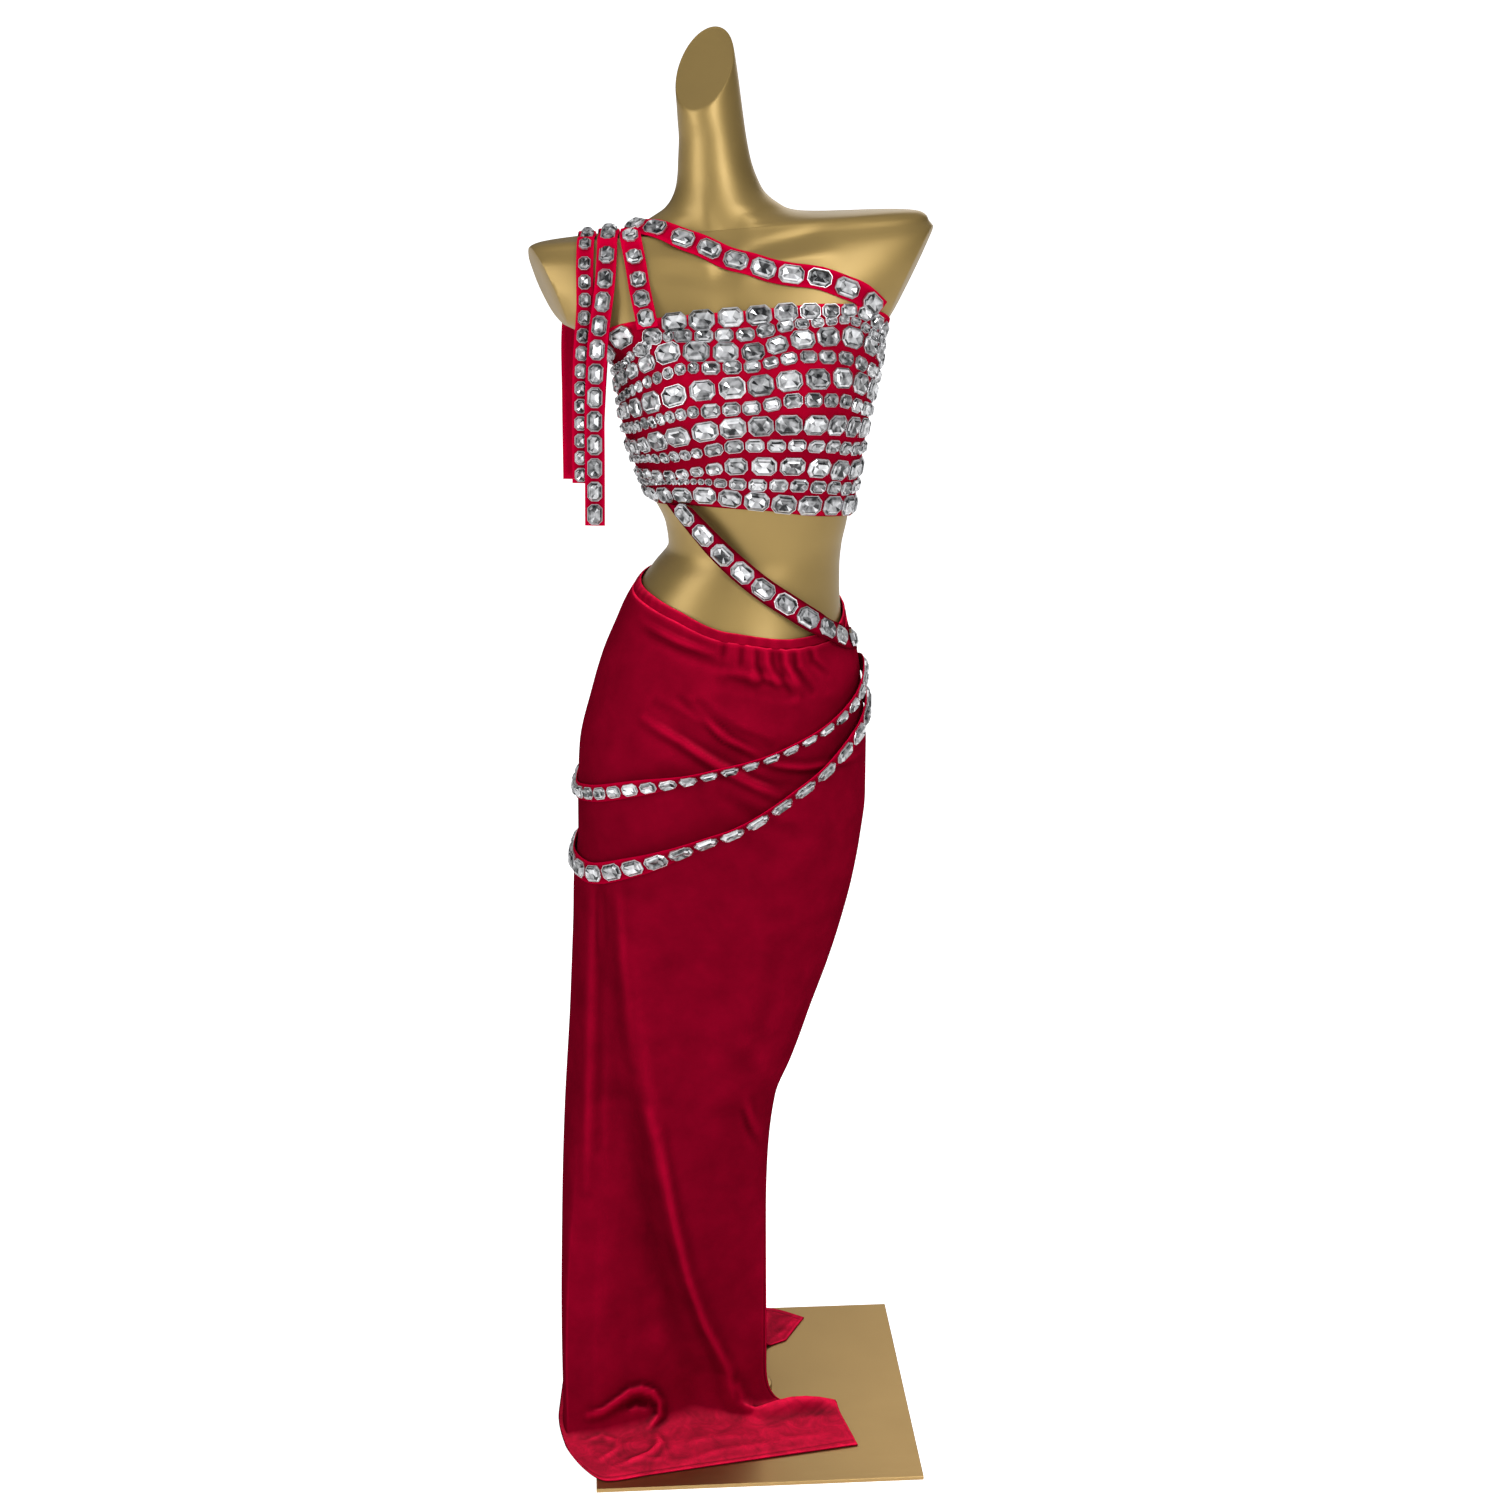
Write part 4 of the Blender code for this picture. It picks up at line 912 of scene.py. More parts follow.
def row_places(k, start, end):
    """Stones of row k between two angles, each as large as the room allows."""
    angles = np.linspace(start, end, ROW_SAMPLES)
    line, _ = on_top(row_height(k, angles), angles)
    run = run_along(line)
    scales = row_room(k, angles)
    spots = []
    at = ROW_START
    while True:
        angle = float(np.interp(at, run, angles))
        crowded = k % 2 == 1 and start == 180 and end == 0 and angle > CROWDED_FROM
        sizes = CROWDED_STONE if crowded else NARROW_STONE if k % 2 else WIDE_STONE
        length, width, pitch = np.array(sizes) * float(np.interp(at, run, scales))
        if at + pitch > run[-1] + ROW_OVERRUN:
            break
        spots.append((at + pitch / 2, length, width, pitch))
        at += pitch
    spare = (run[-1] - ROW_START - at) / max(len(spots), 1)
    places = []
    for i, (at, length, width, pitch) in enumerate(spots):
        at += spare * (i + 0.5) + jitter(PLACE_JITTER)
        angle = np.array(float(np.interp(at, run, angles)))
        height = row_height(k, angle) + jitter(PLACE_JITTER)
        origin, out = on_top(height, angle)
        reach = (at - STONE_REACH, at + STONE_REACH)
        along = np.array([np.diff(np.interp(reach, run, line[:, m]))[0] for m in range(3)])
        grow = 1 + jitter(SIZE_JITTER)
        places.append((origin, along, out, min(length * grow, pitch + spare - STONE_ROOM), width * grow))
    return places


def top_panel(side, start, end):
    """One panel of the crop top with its stones."""
    trial = np.linspace(start, end, WIDTH_SAMPLES)
    run = run_along(trunk_points(np.full(trial.shape, TOP_MIDDLE), trial))
    margin = SEAM_GAP / 2 / run[-1]
    shares = margin + np.linspace(0, 1, TOP_COLUMNS + 1) * (1 - 2 * margin)
    angles = np.interp(shares * run[-1], run, trial)[None, :]
    top, bottom = top_edges(angles)
    heights = top + (bottom - top) * np.linspace(0, 1, TOP_LEVELS + 1)[:, None]
    points, _ = on_top(heights, np.broadcast_to(angles, heights.shape))
    faces = grid_faces(TOP_LEVELS + 1, TOP_COLUMNS + 1, False)
    name = f"top_{side}"
    cloth = cloth_object(f"{name}_cloth", points, faces, top_velvet, TOP_WALL, name)
    runs = [(k, start, end) for k in range(ROW_COUNT)]
    if side == "front":
        runs[:1] = [(0, start, STRAP_FOOT[0]), (0, STRAP_FOOT[1], end)]
    places = [place for row_ends in runs for place in row_places(*row_ends)]
    for angle, height, length, width in SINGLE_STONES if side == "front" else []:
        origin, out = on_top(np.array(height), np.array(angle))
        along = trunk_points(height, angle - STONE_TURN) - trunk_points(height, angle + STONE_TURN)
        places.append((origin, along, out, length, width))
    stones = stones_piece(f"{name}_stones", places)
    width = float(run[-1]) * MM


top_velvet = velvet("crimson velvet of the top", VELVET_RED, 0.12, 0.0)
stone_glass = cut_glass()
setting_silver = brushed_metal("silver settings", SETTING_SILVER, 0.3, 0, (1, 1, 1))
top_panel("front", 180, 0)
top_panel("back", 180, 360)

# Skirt: a front and a back panel of the same velvet, gathered into a rolled elastic casing at
# the waist, seamed at the viewer's left and half way down the right, with the hem on the plate.
SKIRT_RED = (0.142, 0.0006, 0.0088)
CASING_HEIGHT = 11
CASING_THICK = 5
CASING_CLEAR = 0.5
CASING_SIDES = 480
CASING_WALL = 1.0
# outer side of the roll: share of the casing's height, least distance from the form, how far it bulges (mm)
ROLL_FIT = 0.98
ROLL_INNER = CASING_CLEAR + CASING_WALL + 0.2
ROLL_DEPTH = CASING_THICK - 1.4
# the casing's roll: part of a turn each way from its outermost line (degrees), lines along it, pucker (mm)
CASING_ROLL = 150
CASING_LINES = 17
CASING_PUCKER = 0.35
PUCKER_COUNT = 47
# how the puckers swell round the waist: share of their size, swells in one round, start (degrees)
PUCKER_SWELL = (0.4, 5, 40)
CLOTH = 1.5
SEAT_GAP = 0.3
# angle, height of the casing's top edge (degrees, mm)
WAIST_LINE = [
    (0, 1003),
    (30, 992),
    (60, 990),
    (90, 999),
    (120, 1020),
    (150, 1032),
    (180, 1037),
    (210, 1040),
    (240, 1040),
    (270, 1036),
    (300, 1028),
    (330, 1014),
    (360, 1003),
]
# height, left, front panel's right, back panel's right, front, back,
# front panel's right edge y, back panel's right edge y, squareness (mm)
SKIRT_ROWS = [
    (60, -231, 18, 14, -96, 98, -30, 94, 2.4),
    (132, -229, 17, 12, -97, 100, -26, 90, 2.4),
    (268, -223, 18, 14, -99, 105, -20, 75, 2.4),
    (335, -220, 21, 18, -100, 108, -16, 56, 2.4),
    (420, -216, 32, 28, -103, 112, -12, 34, 2.4),
    (470, -213, 50, 45, -105, 116, -9, 22, 2.4),
    (532, -209, 70, 69, -109, 121, -5, 8, 2.35),
    (585, -206, 89, 89, -113, 125, 0, 0, 2.3),
    (640, -203, 105, 105, -119, 129, 0, 0, 2.3),
    (691, -201, 117, 117, -124, 132, 0, 0, 2.3),
    (740, -195, 125, 125, -128, 134, 0, 0, 2.3),
    (790, -194, 130, 130, -130, 134, 0, 0, 2.3),
    (847, -191, 130, 130, -128, 131, 0, 0, 2.3),
    (906, -177, 125, 125, -122, 123, 0, 0, 2.3),
    (952, -163, 119, 119, -114, 114, 0, 0, 2.3),
    (985, -149, 108, 108, -105, 105, 0, 0, 2.3),
    (1010, -138, 104, 104, -98, 97, 0, 0, 2.3),
    (1030, -126, 103, 103, -94, 91, 0, 0, 2.3),
    (1050, -111, 103, 103, -91, 87, 0, 0, 2.3),
]
WALL_TOP = 985
# height from which the wall's levels spread up to the sloping casing
SLOPE_FOOT = 880
WALL_FOOT = 64
LANDING_FOOT = 60
TUCK_UNDER = 1.2
SLIT_TOP = 560
SLIT_EASE = 20
FALL_TOP = 520
SEWN_GAP = 0.04
HEM_GROOVE = 0.7
GROOVE_SHARE = 0.0025
HEM_GROOVE_SHARE = 0.02
# creping of the cloth on the plate: mean rise, height of its waves (mm), then how fast they go across,
# sway, turn and go along
CREPE_RISE = 0.5
CREPING = 0.09
CREPE_WAVES = (0.61, 3, 0.17, 0.53)
# how fast the creping fades towards a panel's sides, and the folds towards the hem down to a least share
SIDE_FADE = 12
HEM_FADE = 6
HEM_LEAST = 0.25
# height above the plate over which all of these fade out, and the deepest trough on the plate (mm)
FLAP_FADE = 30
FLAP_TROUGH = -0.6
# how far folds lean sideways towards a panel's edges
SIDE_LEAN = 0.25
FLOOR_LEVEL = 5 + SEAT_GAP + CLOTH
# the part of a panel that lies on the plate: share of the width, then x and y of the
# foot of the wall, of the middle of the flap and of the hem (mm)
FRONT_LANDING = [
    (0.00, -226, 22, -228, 22, -231, 22),
    (0.12, -226, -42, -228, -44, -231, -46),
    (0.24, -217, -90, -218, -104, -218, -118),
    (0.34, -186, -90, -180, -132, -166, -188),
    (0.45, -146, -76, -130, -122, -116, -176),
    (0.60, -98, -60, -66, -108, -40, -157),
    (0.75, -52, -46, 5, -88, 33, -139),
    (0.90, -6, -38, 66, -58, 95, -124),
    (1.00, 20, -32, 104, -30, 128, -116),
]
BACK_LANDING = [
    (0.00, -226, 22, -228, 22, -231, 22),
    (0.25, -208, 84, -213, 96, -219, 110),
    (0.50, -122, 100, -124, 125, -126, 150),
    (0.75, -50, 98, -44, 130, -40, 164),
    (0.90, -8, 96, 6, 140, 22, 188),
    (1.00, 14, 92, 46, 112, 70, 166),
]
# broad folds seen from the front: x, height of both ends, half width, rise (mm)
FRONT_FOLDS = [
    (8, 984, 2, 940, 7, 2),
    (28, 980, 22, 945, 6, -1.5),
    (48, 978, 50, 930, 8, 2.5),
    (68, 979, 84, 930, 8, 2),
    (-22, 930, 52, 905, 14, -3),
    (-105, 880, 30, 800, 20, 3),
    (-70, 885, 100, 830, 16, -2.5),
    (-150, 440, -118, 150, 30, -12),
    (-20, 420, 0, 150, 26, -6),
    (-185, 700, -178, 420, 18, 4),
    (-165, 690, -158, 380, 14, -3),
    (0, 520, 24, 470, 16, 4),
]
BACK_FOLDS = [
    (-60, 985, -66, 900, 12, 2.5),
    (20, 985, 28, 900, 12, 2.5),
    (-120, 640, -130, 120, 30, 8),
    (-40, 640, -46, 120, 30, 7),
    (-82, 600, -88, 120, 26, -6),
]
# finer creases seen from the front: points of the line (x, height), half width, rise (mm)
FRONT_CREASES = [
    (((7, 990), (8, 966), (19, 939)), 4.0, -3.6),
    (((27, 988), (29, 965), (40, 938)), 4.0, -3.8),
    (((46, 986), (49, 960), (66, 935)), 4.2, -4.2),
    (((62, 984), (67, 966), (82, 951)), 3.8, -3.2),
    (((17, 988), (19, 968), (29, 946)), 3.6, 2.6),
    (((37, 986), (39, 966), (52, 944)), 3.6, 2.8),
    (((-8, 994), (-10, 966)), 3.6, -2.4),
    (((-26, 998), (-29, 971)), 3.6, -2.0),
    (((-118, 1006), (-78, 990), (-40, 980)), 4.5, 3.0),
    (((-112, 994), (-70, 978), (-23, 964)), 5.0, -3.0),
    (((-31, 950), (10, 940), (53, 931)), 7, -4.5),
    (((-24, 962), (16, 953), (56, 944)), 6, 2.6),
    (((-112, 906), (-74, 886), (-32, 859), (32, 824)), 6, 6.5),
    (((-100, 922), (-62, 902), (-20, 875), (34, 842)), 6.5, -5.4),
    (((-74, 930), (-52, 912), (-40, 896)), 5, -3.6),
    (((-54, 926), (-20, 896), (20, 880)), 6, -5.2),
    (((-60, 920), (-26, 888), (10, 868)), 5, 3.6),
    (((10, 862), (60, 852), (122, 850)), 5, 5.4),
    (((4, 848), (56, 838), (120, 838)), 6, -4.2),
    (((-30, 830), (10, 800), (60, 776)), 10, -3.6),
    (((-128, 680), (-120, 560), (-108, 445), (-88, 310), (-68, 191), (-30, 90), (0, 0)), 26, 12.0),
    (((-152, 704), (-138, 624), (-123, 516), (-108, 389)), 14, 6.0),
    (((-116, 440), (-91, 293), (-77, 220), (-58, 145), (-27, 60), (0, 0)), 9, 10.0),
    (((-104, 420), (-86, 293), (-70, 200), (-52, 130), (-30, 80), (-8, 20)), 5, 4.0),
    (((-140, 420), (-122, 284), (-112, 210), (-97, 143), (-72, 65), (-50, 10)), 15, -10.0),
    (((-5, 439), (2, 409), (14, 376)), 5, 3.2),
    (((-8, 425), (-2, 398), (10, 366)), 4, -2.4),
    (((-178, 701), (-182, 609), (-187, 487), (-190, 330)), 7, 4.6),
    (((-165, 707), (-168, 616), (-172, 505), (-176, 380)), 7, -5.0),
    (((-145, 712), (-142, 622), (-132, 501)), 7, 3.4),
    (((-200, 690), (-204, 560), (-206, 420)), 6, -3.4),
    (((30, 640), (20, 560), (-4, 470)), 14, -4.0),
    (((70, 620), (60, 560), (40, 500)), 8, 3.2),
]
BACK_CREASES = [
    (((-70, 1026), (-74, 990), (-66, 950)), 4, -2.2),
    (((-40, 1026), (-42, 996), (-50, 960)), 3.8, -2.0),
    (((-10, 1024), (-8, 990), (2, 948)), 4, -2.4),
    (((18, 1022), (22, 992), (16, 958)), 3.8, 1.8),
    (((46, 1016), (52, 984), (64, 950)), 4, -2.2),
    (((-120, 900), (-60, 876), (20, 858)), 9, -3.2),
    (((-116, 886), (-56, 862), (24, 844)), 8, 2.6),
    (((100, 880), (40, 850), (-30, 836)), 9, 2.8),
    (((-150, 700), (-148, 560), (-156, 400), (-150, 240)), 12, 4),
    (((-100, 690), (-96, 520), (-104, 360), (-98, 200)), 10, -3.6),
    (((-16, 680), (-14, 540), (-22, 380), (-14, 190)), 12, 3.8),
    (((-58, 640), (-60, 480), (-54, 300), (-60, 140)), 9, -3.0),
]
# folds of the cloth on the plate seen from above: points of the line (x, y), half width, rise (mm)
FRONT_FLAP_FOLDS = [
    (((-8, -54), (8, -60), (54, -42), (104, -34)), 9, 17),
    (((10, -76), (54, -57), (100, -48)), 4, -2.0),
    (((-110, -100), (-106, -116), (-116, -136), (-138, -150)), 4.5, 5.0),
    (((-176, -150), (-152, -124), (-128, -112)), 4, 3.0),
    (((-160, -164), (-136, -150), (-100, -146)), 4, 2.4),
    (((-196, -112), (-176, -104), (-158, -110)), 4, 2.4),
    (((-70, -150), (-30, -128), (16, -120)), 6, 2.2),
    (((-84, -118), (-40, -104), (4, -100)), 6, 1.8),
    (((20, -118), (60, -104), (96, -98)), 6, 1.8),
]
# puckers where the front turns onto the plate: points of the line (x, way down the turn), half width,
# rise (mm)
FRONT_TURN_FOLDS = [
    (((-192, 34), (-174, 30), (-156, 21), (-143, 14), (-130, 13), (-116, 21), (-108, 34), (-108, 48),
      (-120, 60)), 5, 9),
    (((-150, 31), (-136, 27), (-122, 34)), 6, -5),
    (((-18, 18), (-8, 42), (4, 60)), 7, 8),
]
BACK_FLAP_FOLDS = [
    (((-150, 118), (-120, 126), (-84, 122)), 7, 4),
    (((-60, 120), (-48, 140), (-50, 156)), 5, 2.4),
    (((-4, 112), (14, 136), (22, 170)), 6, 4),
    (((30, 110), (44, 130), (58, 158)), 5, 2.4),
]
# wall rows and columns of each panel, then rows of each half of the landing
SKIRT_GRID = {"front": (200, 184), "back": (150, 120)}
HIP_ROWS = 0.36
HIP_FOOT = 790
HIP_ROOM = 2.2
OPEN_ROOM = 40
# height below which creases get more room, and over how far
ROOM_HEIGHT = 640
ROOM_FADE = 120
# shares at which a panel's edge columns and its last rows lie, close enough for a narrow hem
EDGE_SHARES = [0, 0.004, 0.008, 0.011, 0.014, 0.018, 0.023]
INNER_SHARES = (0.03, 0.97)
LANDING_SHARES = [i / 24 for i in range(1, 25)]
HEM_SHARES = [0.07, 0.14, 0.21, 0.28, 0.35, 0.42, 0.49, 0.56, 0.63, 0.7, 0.76, 0.81, 0.85, 0.88, 0.9, 0.93,
              0.97, 1.0]
HEM_LINE = 0.88
TURN_SHARE = 0.55
# how far the turn onto the plate holds on to the wall above it and to the flap after it
TURN_HOLDS = (0.8, 0.3)
# the way in which the front's puckers rise from the turn onto the plate
PUCKER_WAY = (0, -0.75, 0.66)


def ease(value):
    value = np.clip(value, 0, 1)
    return value * value * (3 - 2 * value)


def line_rise(forms, x, z):
    """Height of soft ridges and troughs, each a straight line with round ends."""
    rise = np.zeros(np.shape(x))
    for x0, z0, x1, z1, half_width, height in forms:
        run = (x1 - x0, z1 - z0)
        share = np.clip(((x - x0) * run[0] + (z - z0) * run[1]) / (run[0] ** 2 + run[1] ** 2), 0, 1)
        gap = (x - x0 - run[0] * share) ** 2 + (z - z0 - run[1] * share) ** 2
        rise = rise + height * np.exp(-gap / half_width ** 2)
    return rise


def skirt_points(side, height, share):
    """Outer points of a plain skirt panel (mm) at heights and shares of its width."""
    front = side == "front"
    left, right, depth, edge_y, square = [curve_values(SKIRT_ROWS, height, k)
                                          for k in ((1, 2, 4, 6, 8) if front else (1, 3, 5, 7, 8))]
    power = 2 / square
    cosine = np.cos(np.pi * share)
    x = (left + right) / 2 - (right - left) / 2 * np.sign(cosine) * np.abs(cosine) ** power
    y = edge_y * share + (depth - edge_y / 2) * np.clip(np.sin(np.pi * share), 0, 1) ** power
    landing = FRONT_LANDING if front else BACK_LANDING
    fall = ease((FALL_TOP - height) / (FALL_TOP - LANDING_FOOT))
    x = x + (curve_values(landing, share, 1) - x) * fall
    y = y + (curve_values(landing, share, 2) - y) * fall
    return np.stack(np.broadcast_arrays(x, y, height), -1)


def skirt_wall_and_landing(side):
    """Grid of outer points (mm) from the casing down to the hem."""
    front = side == "front"
    sign = -1 if front else 1
    landing = FRONT_LANDING if front else BACK_LANDING
    rows, columns = SKIRT_GRID[side]
    inner = np.linspace(*INNER_SHARES, columns)
    share = np.concatenate([EDGE_SHARES, inner, 1 - np.array(EDGE_SHARES[::-1])])[None, :]
    hips = round(rows * HIP_ROWS)
    level = np.concatenate([np.linspace(WALL_TOP, HIP_FOOT, hips, endpoint=False),
                            np.linspace(HIP_FOOT, WALL_FOOT, rows - hips)])[:, None]
    wall_top = around_values(WAIST_LINE, 180 + sign * 180 * share, 1) - CASING_HEIGHT + TUCK_UNDER
    height = level + ease((level - SLOPE_FOOT) / (WALL_TOP - SLOPE_FOOT)) * (wall_top - WALL_TOP)
    share = np.broadcast_to(share, height.shape)
    points = skirt_points(side, height, share)
    fade = np.clip(np.sin(np.pi * share), 0, 1) ** 0.5
    out = np.stack([SIDE_LEAN * (share - 0.5), np.full(share.shape, float(sign)), np.zeros(share.shape)], -1)
    out = out / np.linalg.norm(out, axis=-1, keepdims=True)
    rise = line_rise(FRONT_FOLDS if front else BACK_FOLDS, points[..., 0], height)
    rise = rise + curve_rise(FRONT_CREASES if front else BACK_CREASES, points[..., 0], height)
    room = HIP_ROOM + (OPEN_ROOM - HIP_ROOM) * ease((ROOM_HEIGHT - height) / ROOM_FADE)
    rise = np.where(rise < 0, -room * np.tanh(-rise / room), rise)
    points = points + out * (rise * fade)[..., None]
    points[..., 1] += sign * np.where((share == 0) | (share == 1) & (height > SLIT_TOP), SEWN_GAP, 0)
    slit = np.exp(-((share - 1 + EDGE_SHARES[3]) / GROOVE_SHARE) ** 2) * ease((SLIT_TOP - height) / SLIT_EASE)
    points += out * (-HEM_GROOVE * slit)[..., None]
    share = share[0]
    foot = points[-1]
    seam = np.where(share == 0, SEWN_GAP, 0) * sign
    level = np.full(share.shape, FLOOR_LEVEL)
    places = [curve_values(landing, share, k) for k in (3, 4, 5, 6)]
    middle = np.stack([places[0], places[1] + seam, level], -1)
    hem = np.stack([places[2], places[3] + seam, level], -1)
    flat_foot = foot * (1, 1, 0) + (0, 0, FLOOR_LEVEL)
    turn_end = flat_foot + (middle - flat_foot) * TURN_SHARE
    before = foot + (flat_foot - foot) * TURN_HOLDS[0]
    after = flat_foot + (turn_end - flat_foot) * TURN_HOLDS[1]
    flap = []
    for t in LANDING_SHARES[:-3]:
        t = t / LANDING_SHARES[-4]
        start = foot * (1 - t) ** 3 + before * 3 * t * (1 - t) ** 2
        flap.append(start + after * 3 * t * t * (1 - t) + turn_end * t ** 3)
    for t in (1 / 3, 2 / 3, 1):
        flap.append(turn_end + (middle - turn_end) * t)
    for t in HEM_SHARES:
        flap.append(middle + (hem - middle) * t)
    flap = np.stack(flap)
    low = 1 - ease((flap[..., 2] - FLOOR_LEVEL) / FLAP_FADE)
    folds = curve_rise(FRONT_FLAP_FOLDS if front else BACK_FLAP_FOLDS, flap[..., 0], flap[..., 1])
    across, sway, turn, along = CREPE_WAVES
    wave = np.sin(flap[..., 0] * across + sway * np.sin(flap[..., 1] * turn)) * np.sin(flap[..., 1] * along)
    creping = CREPE_RISE + CREPING * wave
    edge = np.clip(np.sin(np.pi * share) * SIDE_FADE, 0, 1)
    rows_in = np.array([0.0] * len(LANDING_SHARES) + HEM_SHARES)[:, None]
    groove = np.exp(-((rows_in - HEM_LINE) / HEM_GROOVE_SHARE) ** 2) * HEM_GROOVE
    settle = np.clip((1 - rows_in) * HEM_FADE, HEM_LEAST, 1)
    flap[..., 2] += low * (np.maximum(folds, FLAP_TROUGH) * settle + creping * edge) - groove * low
    if front:
        run = np.linalg.norm(np.diff(np.concatenate([foot[None], flap]), axis=0), axis=-1).cumsum(axis=0)
        flap += curve_rise(FRONT_TURN_FOLDS, flap[..., 0], run)[..., None] * PUCKER_WAY
    return np.concatenate([points, flap])


def skirt_panel(side):
    grid = skirt_wall_and_landing(side)
    faces = grid_faces(grid.shape[0], grid.shape[1], side == "back")
    name = f"skirt_{side}"
    cloth = cloth_object(f"{name}_cloth", grid, faces, skirt_velvet, CLOTH, name)
    return cloth


def waist_casing():
    """Rolled casing: a strip of cloth folded round elastic, open towards the form."""
    angles = np.arange(CASING_SIDES) * 360 / CASING_SIDES
    middle = around_values(WAIST_LINE, angles, 1) - CASING_HEIGHT / 2
    pucker = CASING_PUCKER * np.sin(np.radians(angles * PUCKER_COUNT))
    share, swells, start = PUCKER_SWELL
    pucker *= 1 - share + share * np.sin(np.radians(angles * swells + start))
    inmost = -math.cos(math.radians(CASING_ROLL))
    strip = []
    for turn in np.linspace(-CASING_ROLL, CASING_ROLL, CASING_LINES):
        across = math.cos(math.radians(turn))
        up = math.sin(math.radians(turn))
        height = middle + up * CASING_HEIGHT / 2 * ROLL_FIT
        normal = trunk_normals(height, angles)
        normal[:, 2] = 0
        normal /= np.linalg.norm(normal, axis=-1, keepdims=True)
        out = ROLL_INNER + ROLL_DEPTH * (across + inmost) / (1 + inmost)
        strip.append(trunk_points(height, angles) + normal * (out + pucker * max(across, 0))[:, None])
    grid = np.stack(strip)
    faces = [quad[::-1] for quad in loop_faces(0, CASING_LINES, CASING_SIDES)]
    cloth = cloth_object("waist_casing_cloth", grid, faces, skirt_velvet, CASING_WALL, "waist_casing")
    return cloth


# the skirt takes the painted light where it faces up in full
skirt_velvet = velvet("crimson velvet of the skirt", SKIRT_RED, 0.16, 1.0)
casing_cloth = waist_casing()
skirt_front_cloth = skirt_panel("front")
skirt_back_cloth = skirt_panel("back")

# Straps: bands of the same velvet over a firm tape, with one row of set stones each. They are
# sewn to the top and the skirt at their ends and lie on the form or hang from the shoulder.
STRAP_RED = (0.2, 0.0, 0.011)
STRAP_THICK = 1.6
STRAP_CLEAR = 0.8
# cloth that shows beside a stone, and between two (mm)
STRAP_EDGE = 2.7
STRAP_GAP = 3
STRAP_PITCH = 4.5
SETTLE_PASSES = 7
# rounds of averaging for the way that an open strap and a hip strap face, then for how far they are raised
SMOOTH_PASSES = 10
HIP_SMOOTH_PASSES = 80
LIFT_PASSES = 2
HIP_LIFT_PASSES = 45
SETTLED = 0.05
BRIDGE_REACH = 8
# points between two rows of a strap's path, and step round a hip strap (degrees)
SPAN_POINTS = 8
HIP_STEP = 2
# x, y, z of each strap's middle line (mm)
NECK_PATH = [
    (-108, 82, 1299),
    (-110, 76, 1340),
    (-112, 62, 1379),
    (-117, 38, 1396),
    (-119, 12, 1402),
    (-109, -13, 1404),
    (-87, -31, 1403),
    (-54, -45, 1397),
    (-23, -55, 1386),
    (10, -60, 1378),
    (41, -62, 1371),
    (72, -62, 1367),
    (96, -58, 1358),
    (113, -51, 1350),
]
SHOULDER_PATH = [
    (-108, -84, 1334),
    (-113, -70, 1354),
    (-118, -52, 1378),
    (-123, -32, 1394),
]
TAIL_SMALL_PATH = [
    (-178, -76, 1156),
    (-177, -74, 1222),
    (-175, -70, 1284),
    (-171, -62, 1335),
    (-171, -48, 1374),
    (-170, -28, 1394),
    (-170, 0, 1402),
    (-174, 34, 1393),
    (-184, 60, 1366),
    (-197, 74, 1300),
    (-199, 78, 1220),
    (-200, 80, 1128),
]
TAIL_LARGE_PATH = [
    (-163, -92, 1114),
    (-162, -90, 1181),
    (-161, -86, 1244),
    (-157, -80, 1305),
    (-151, -68, 1350),
    (-148, -48, 1382),
    (-147, -24, 1400),
    (-147, 0, 1406),
    (-150, 30, 1401),
    (-156, 60, 1374),
    (-163, 84, 1310),
    (-171, 98, 1220),
    (-175, 98, 1150),
]
WAIST_PATH = [
    (-64, -84, 1120),
    (-34, -92, 1088),
    (-8, -92, 1063),
    (16, -94, 1044),
    (40, -94, 1028),
    (63, -90, 1012),
    (82, -78, 998),
    (96, -60, 986),
    (104, -40, 976),
    (107, -20, 969),
]
# ends tucked under the top or the neck strap: points before and after the path, then the length
# without stones at each end (mm)
STRAP_TUCKS = {
    "neck_strap": ([(-107, 86, 1282)], [(129, -38, 1334)], 17, 0),
    "shoulder_strap": ([(-105, -92, 1320)], [(-123, -16, 1401)], 0, 6),
    "tie_tail_small": ([], [], 0, 0),
    "tie_tail_large": ([], [], 0, 0),
    "waist_strap": ([(-84, -73, 1142)], [], 12, 0),
}
# height at which the waist strap's end is cut level, just inside the top's lower edge (mm)
WAIST_STRAP_CUT = 1133.5
# height of the line inside the shoulder from which the straps over it face away (mm)
SHOULDER_MIDDLE = 1350
# painted shade: the stones of the two tails get darker painted reflections
TAIL_REFLECTION_SHADE = 0.72
BAND_SHARP = 60
# section of a strap: share of the width, share of the thickness
STRAP_SECTION = [(-0.5, 0.25), (-0.46, 0.0), (-0.2, 0.0), (0.2, 0.0), (0.46, 0.0), (0.5, 0.25), (0.5, 0.75),
                 (0.46, 1.0), (0.3, 1.1), (0.0, 1.12), (-0.3, 1.1), (-0.46, 1.0), (-0.5, 0.75)]
# width of each strap and pitch of its stones (mm)
NECK_SIZES = (24, 28.5)
SHOULDER_SIZES = (22, 21)
TAIL_SMALL_SIZES = (18, 18)
TAIL_LARGE_SIZES = (21, 24)
WAIST_SIZES = (25, 28)
HIP_UPPER_SIZES = (19, 22)
HIP_LOWER_SIZES = (24, 29)
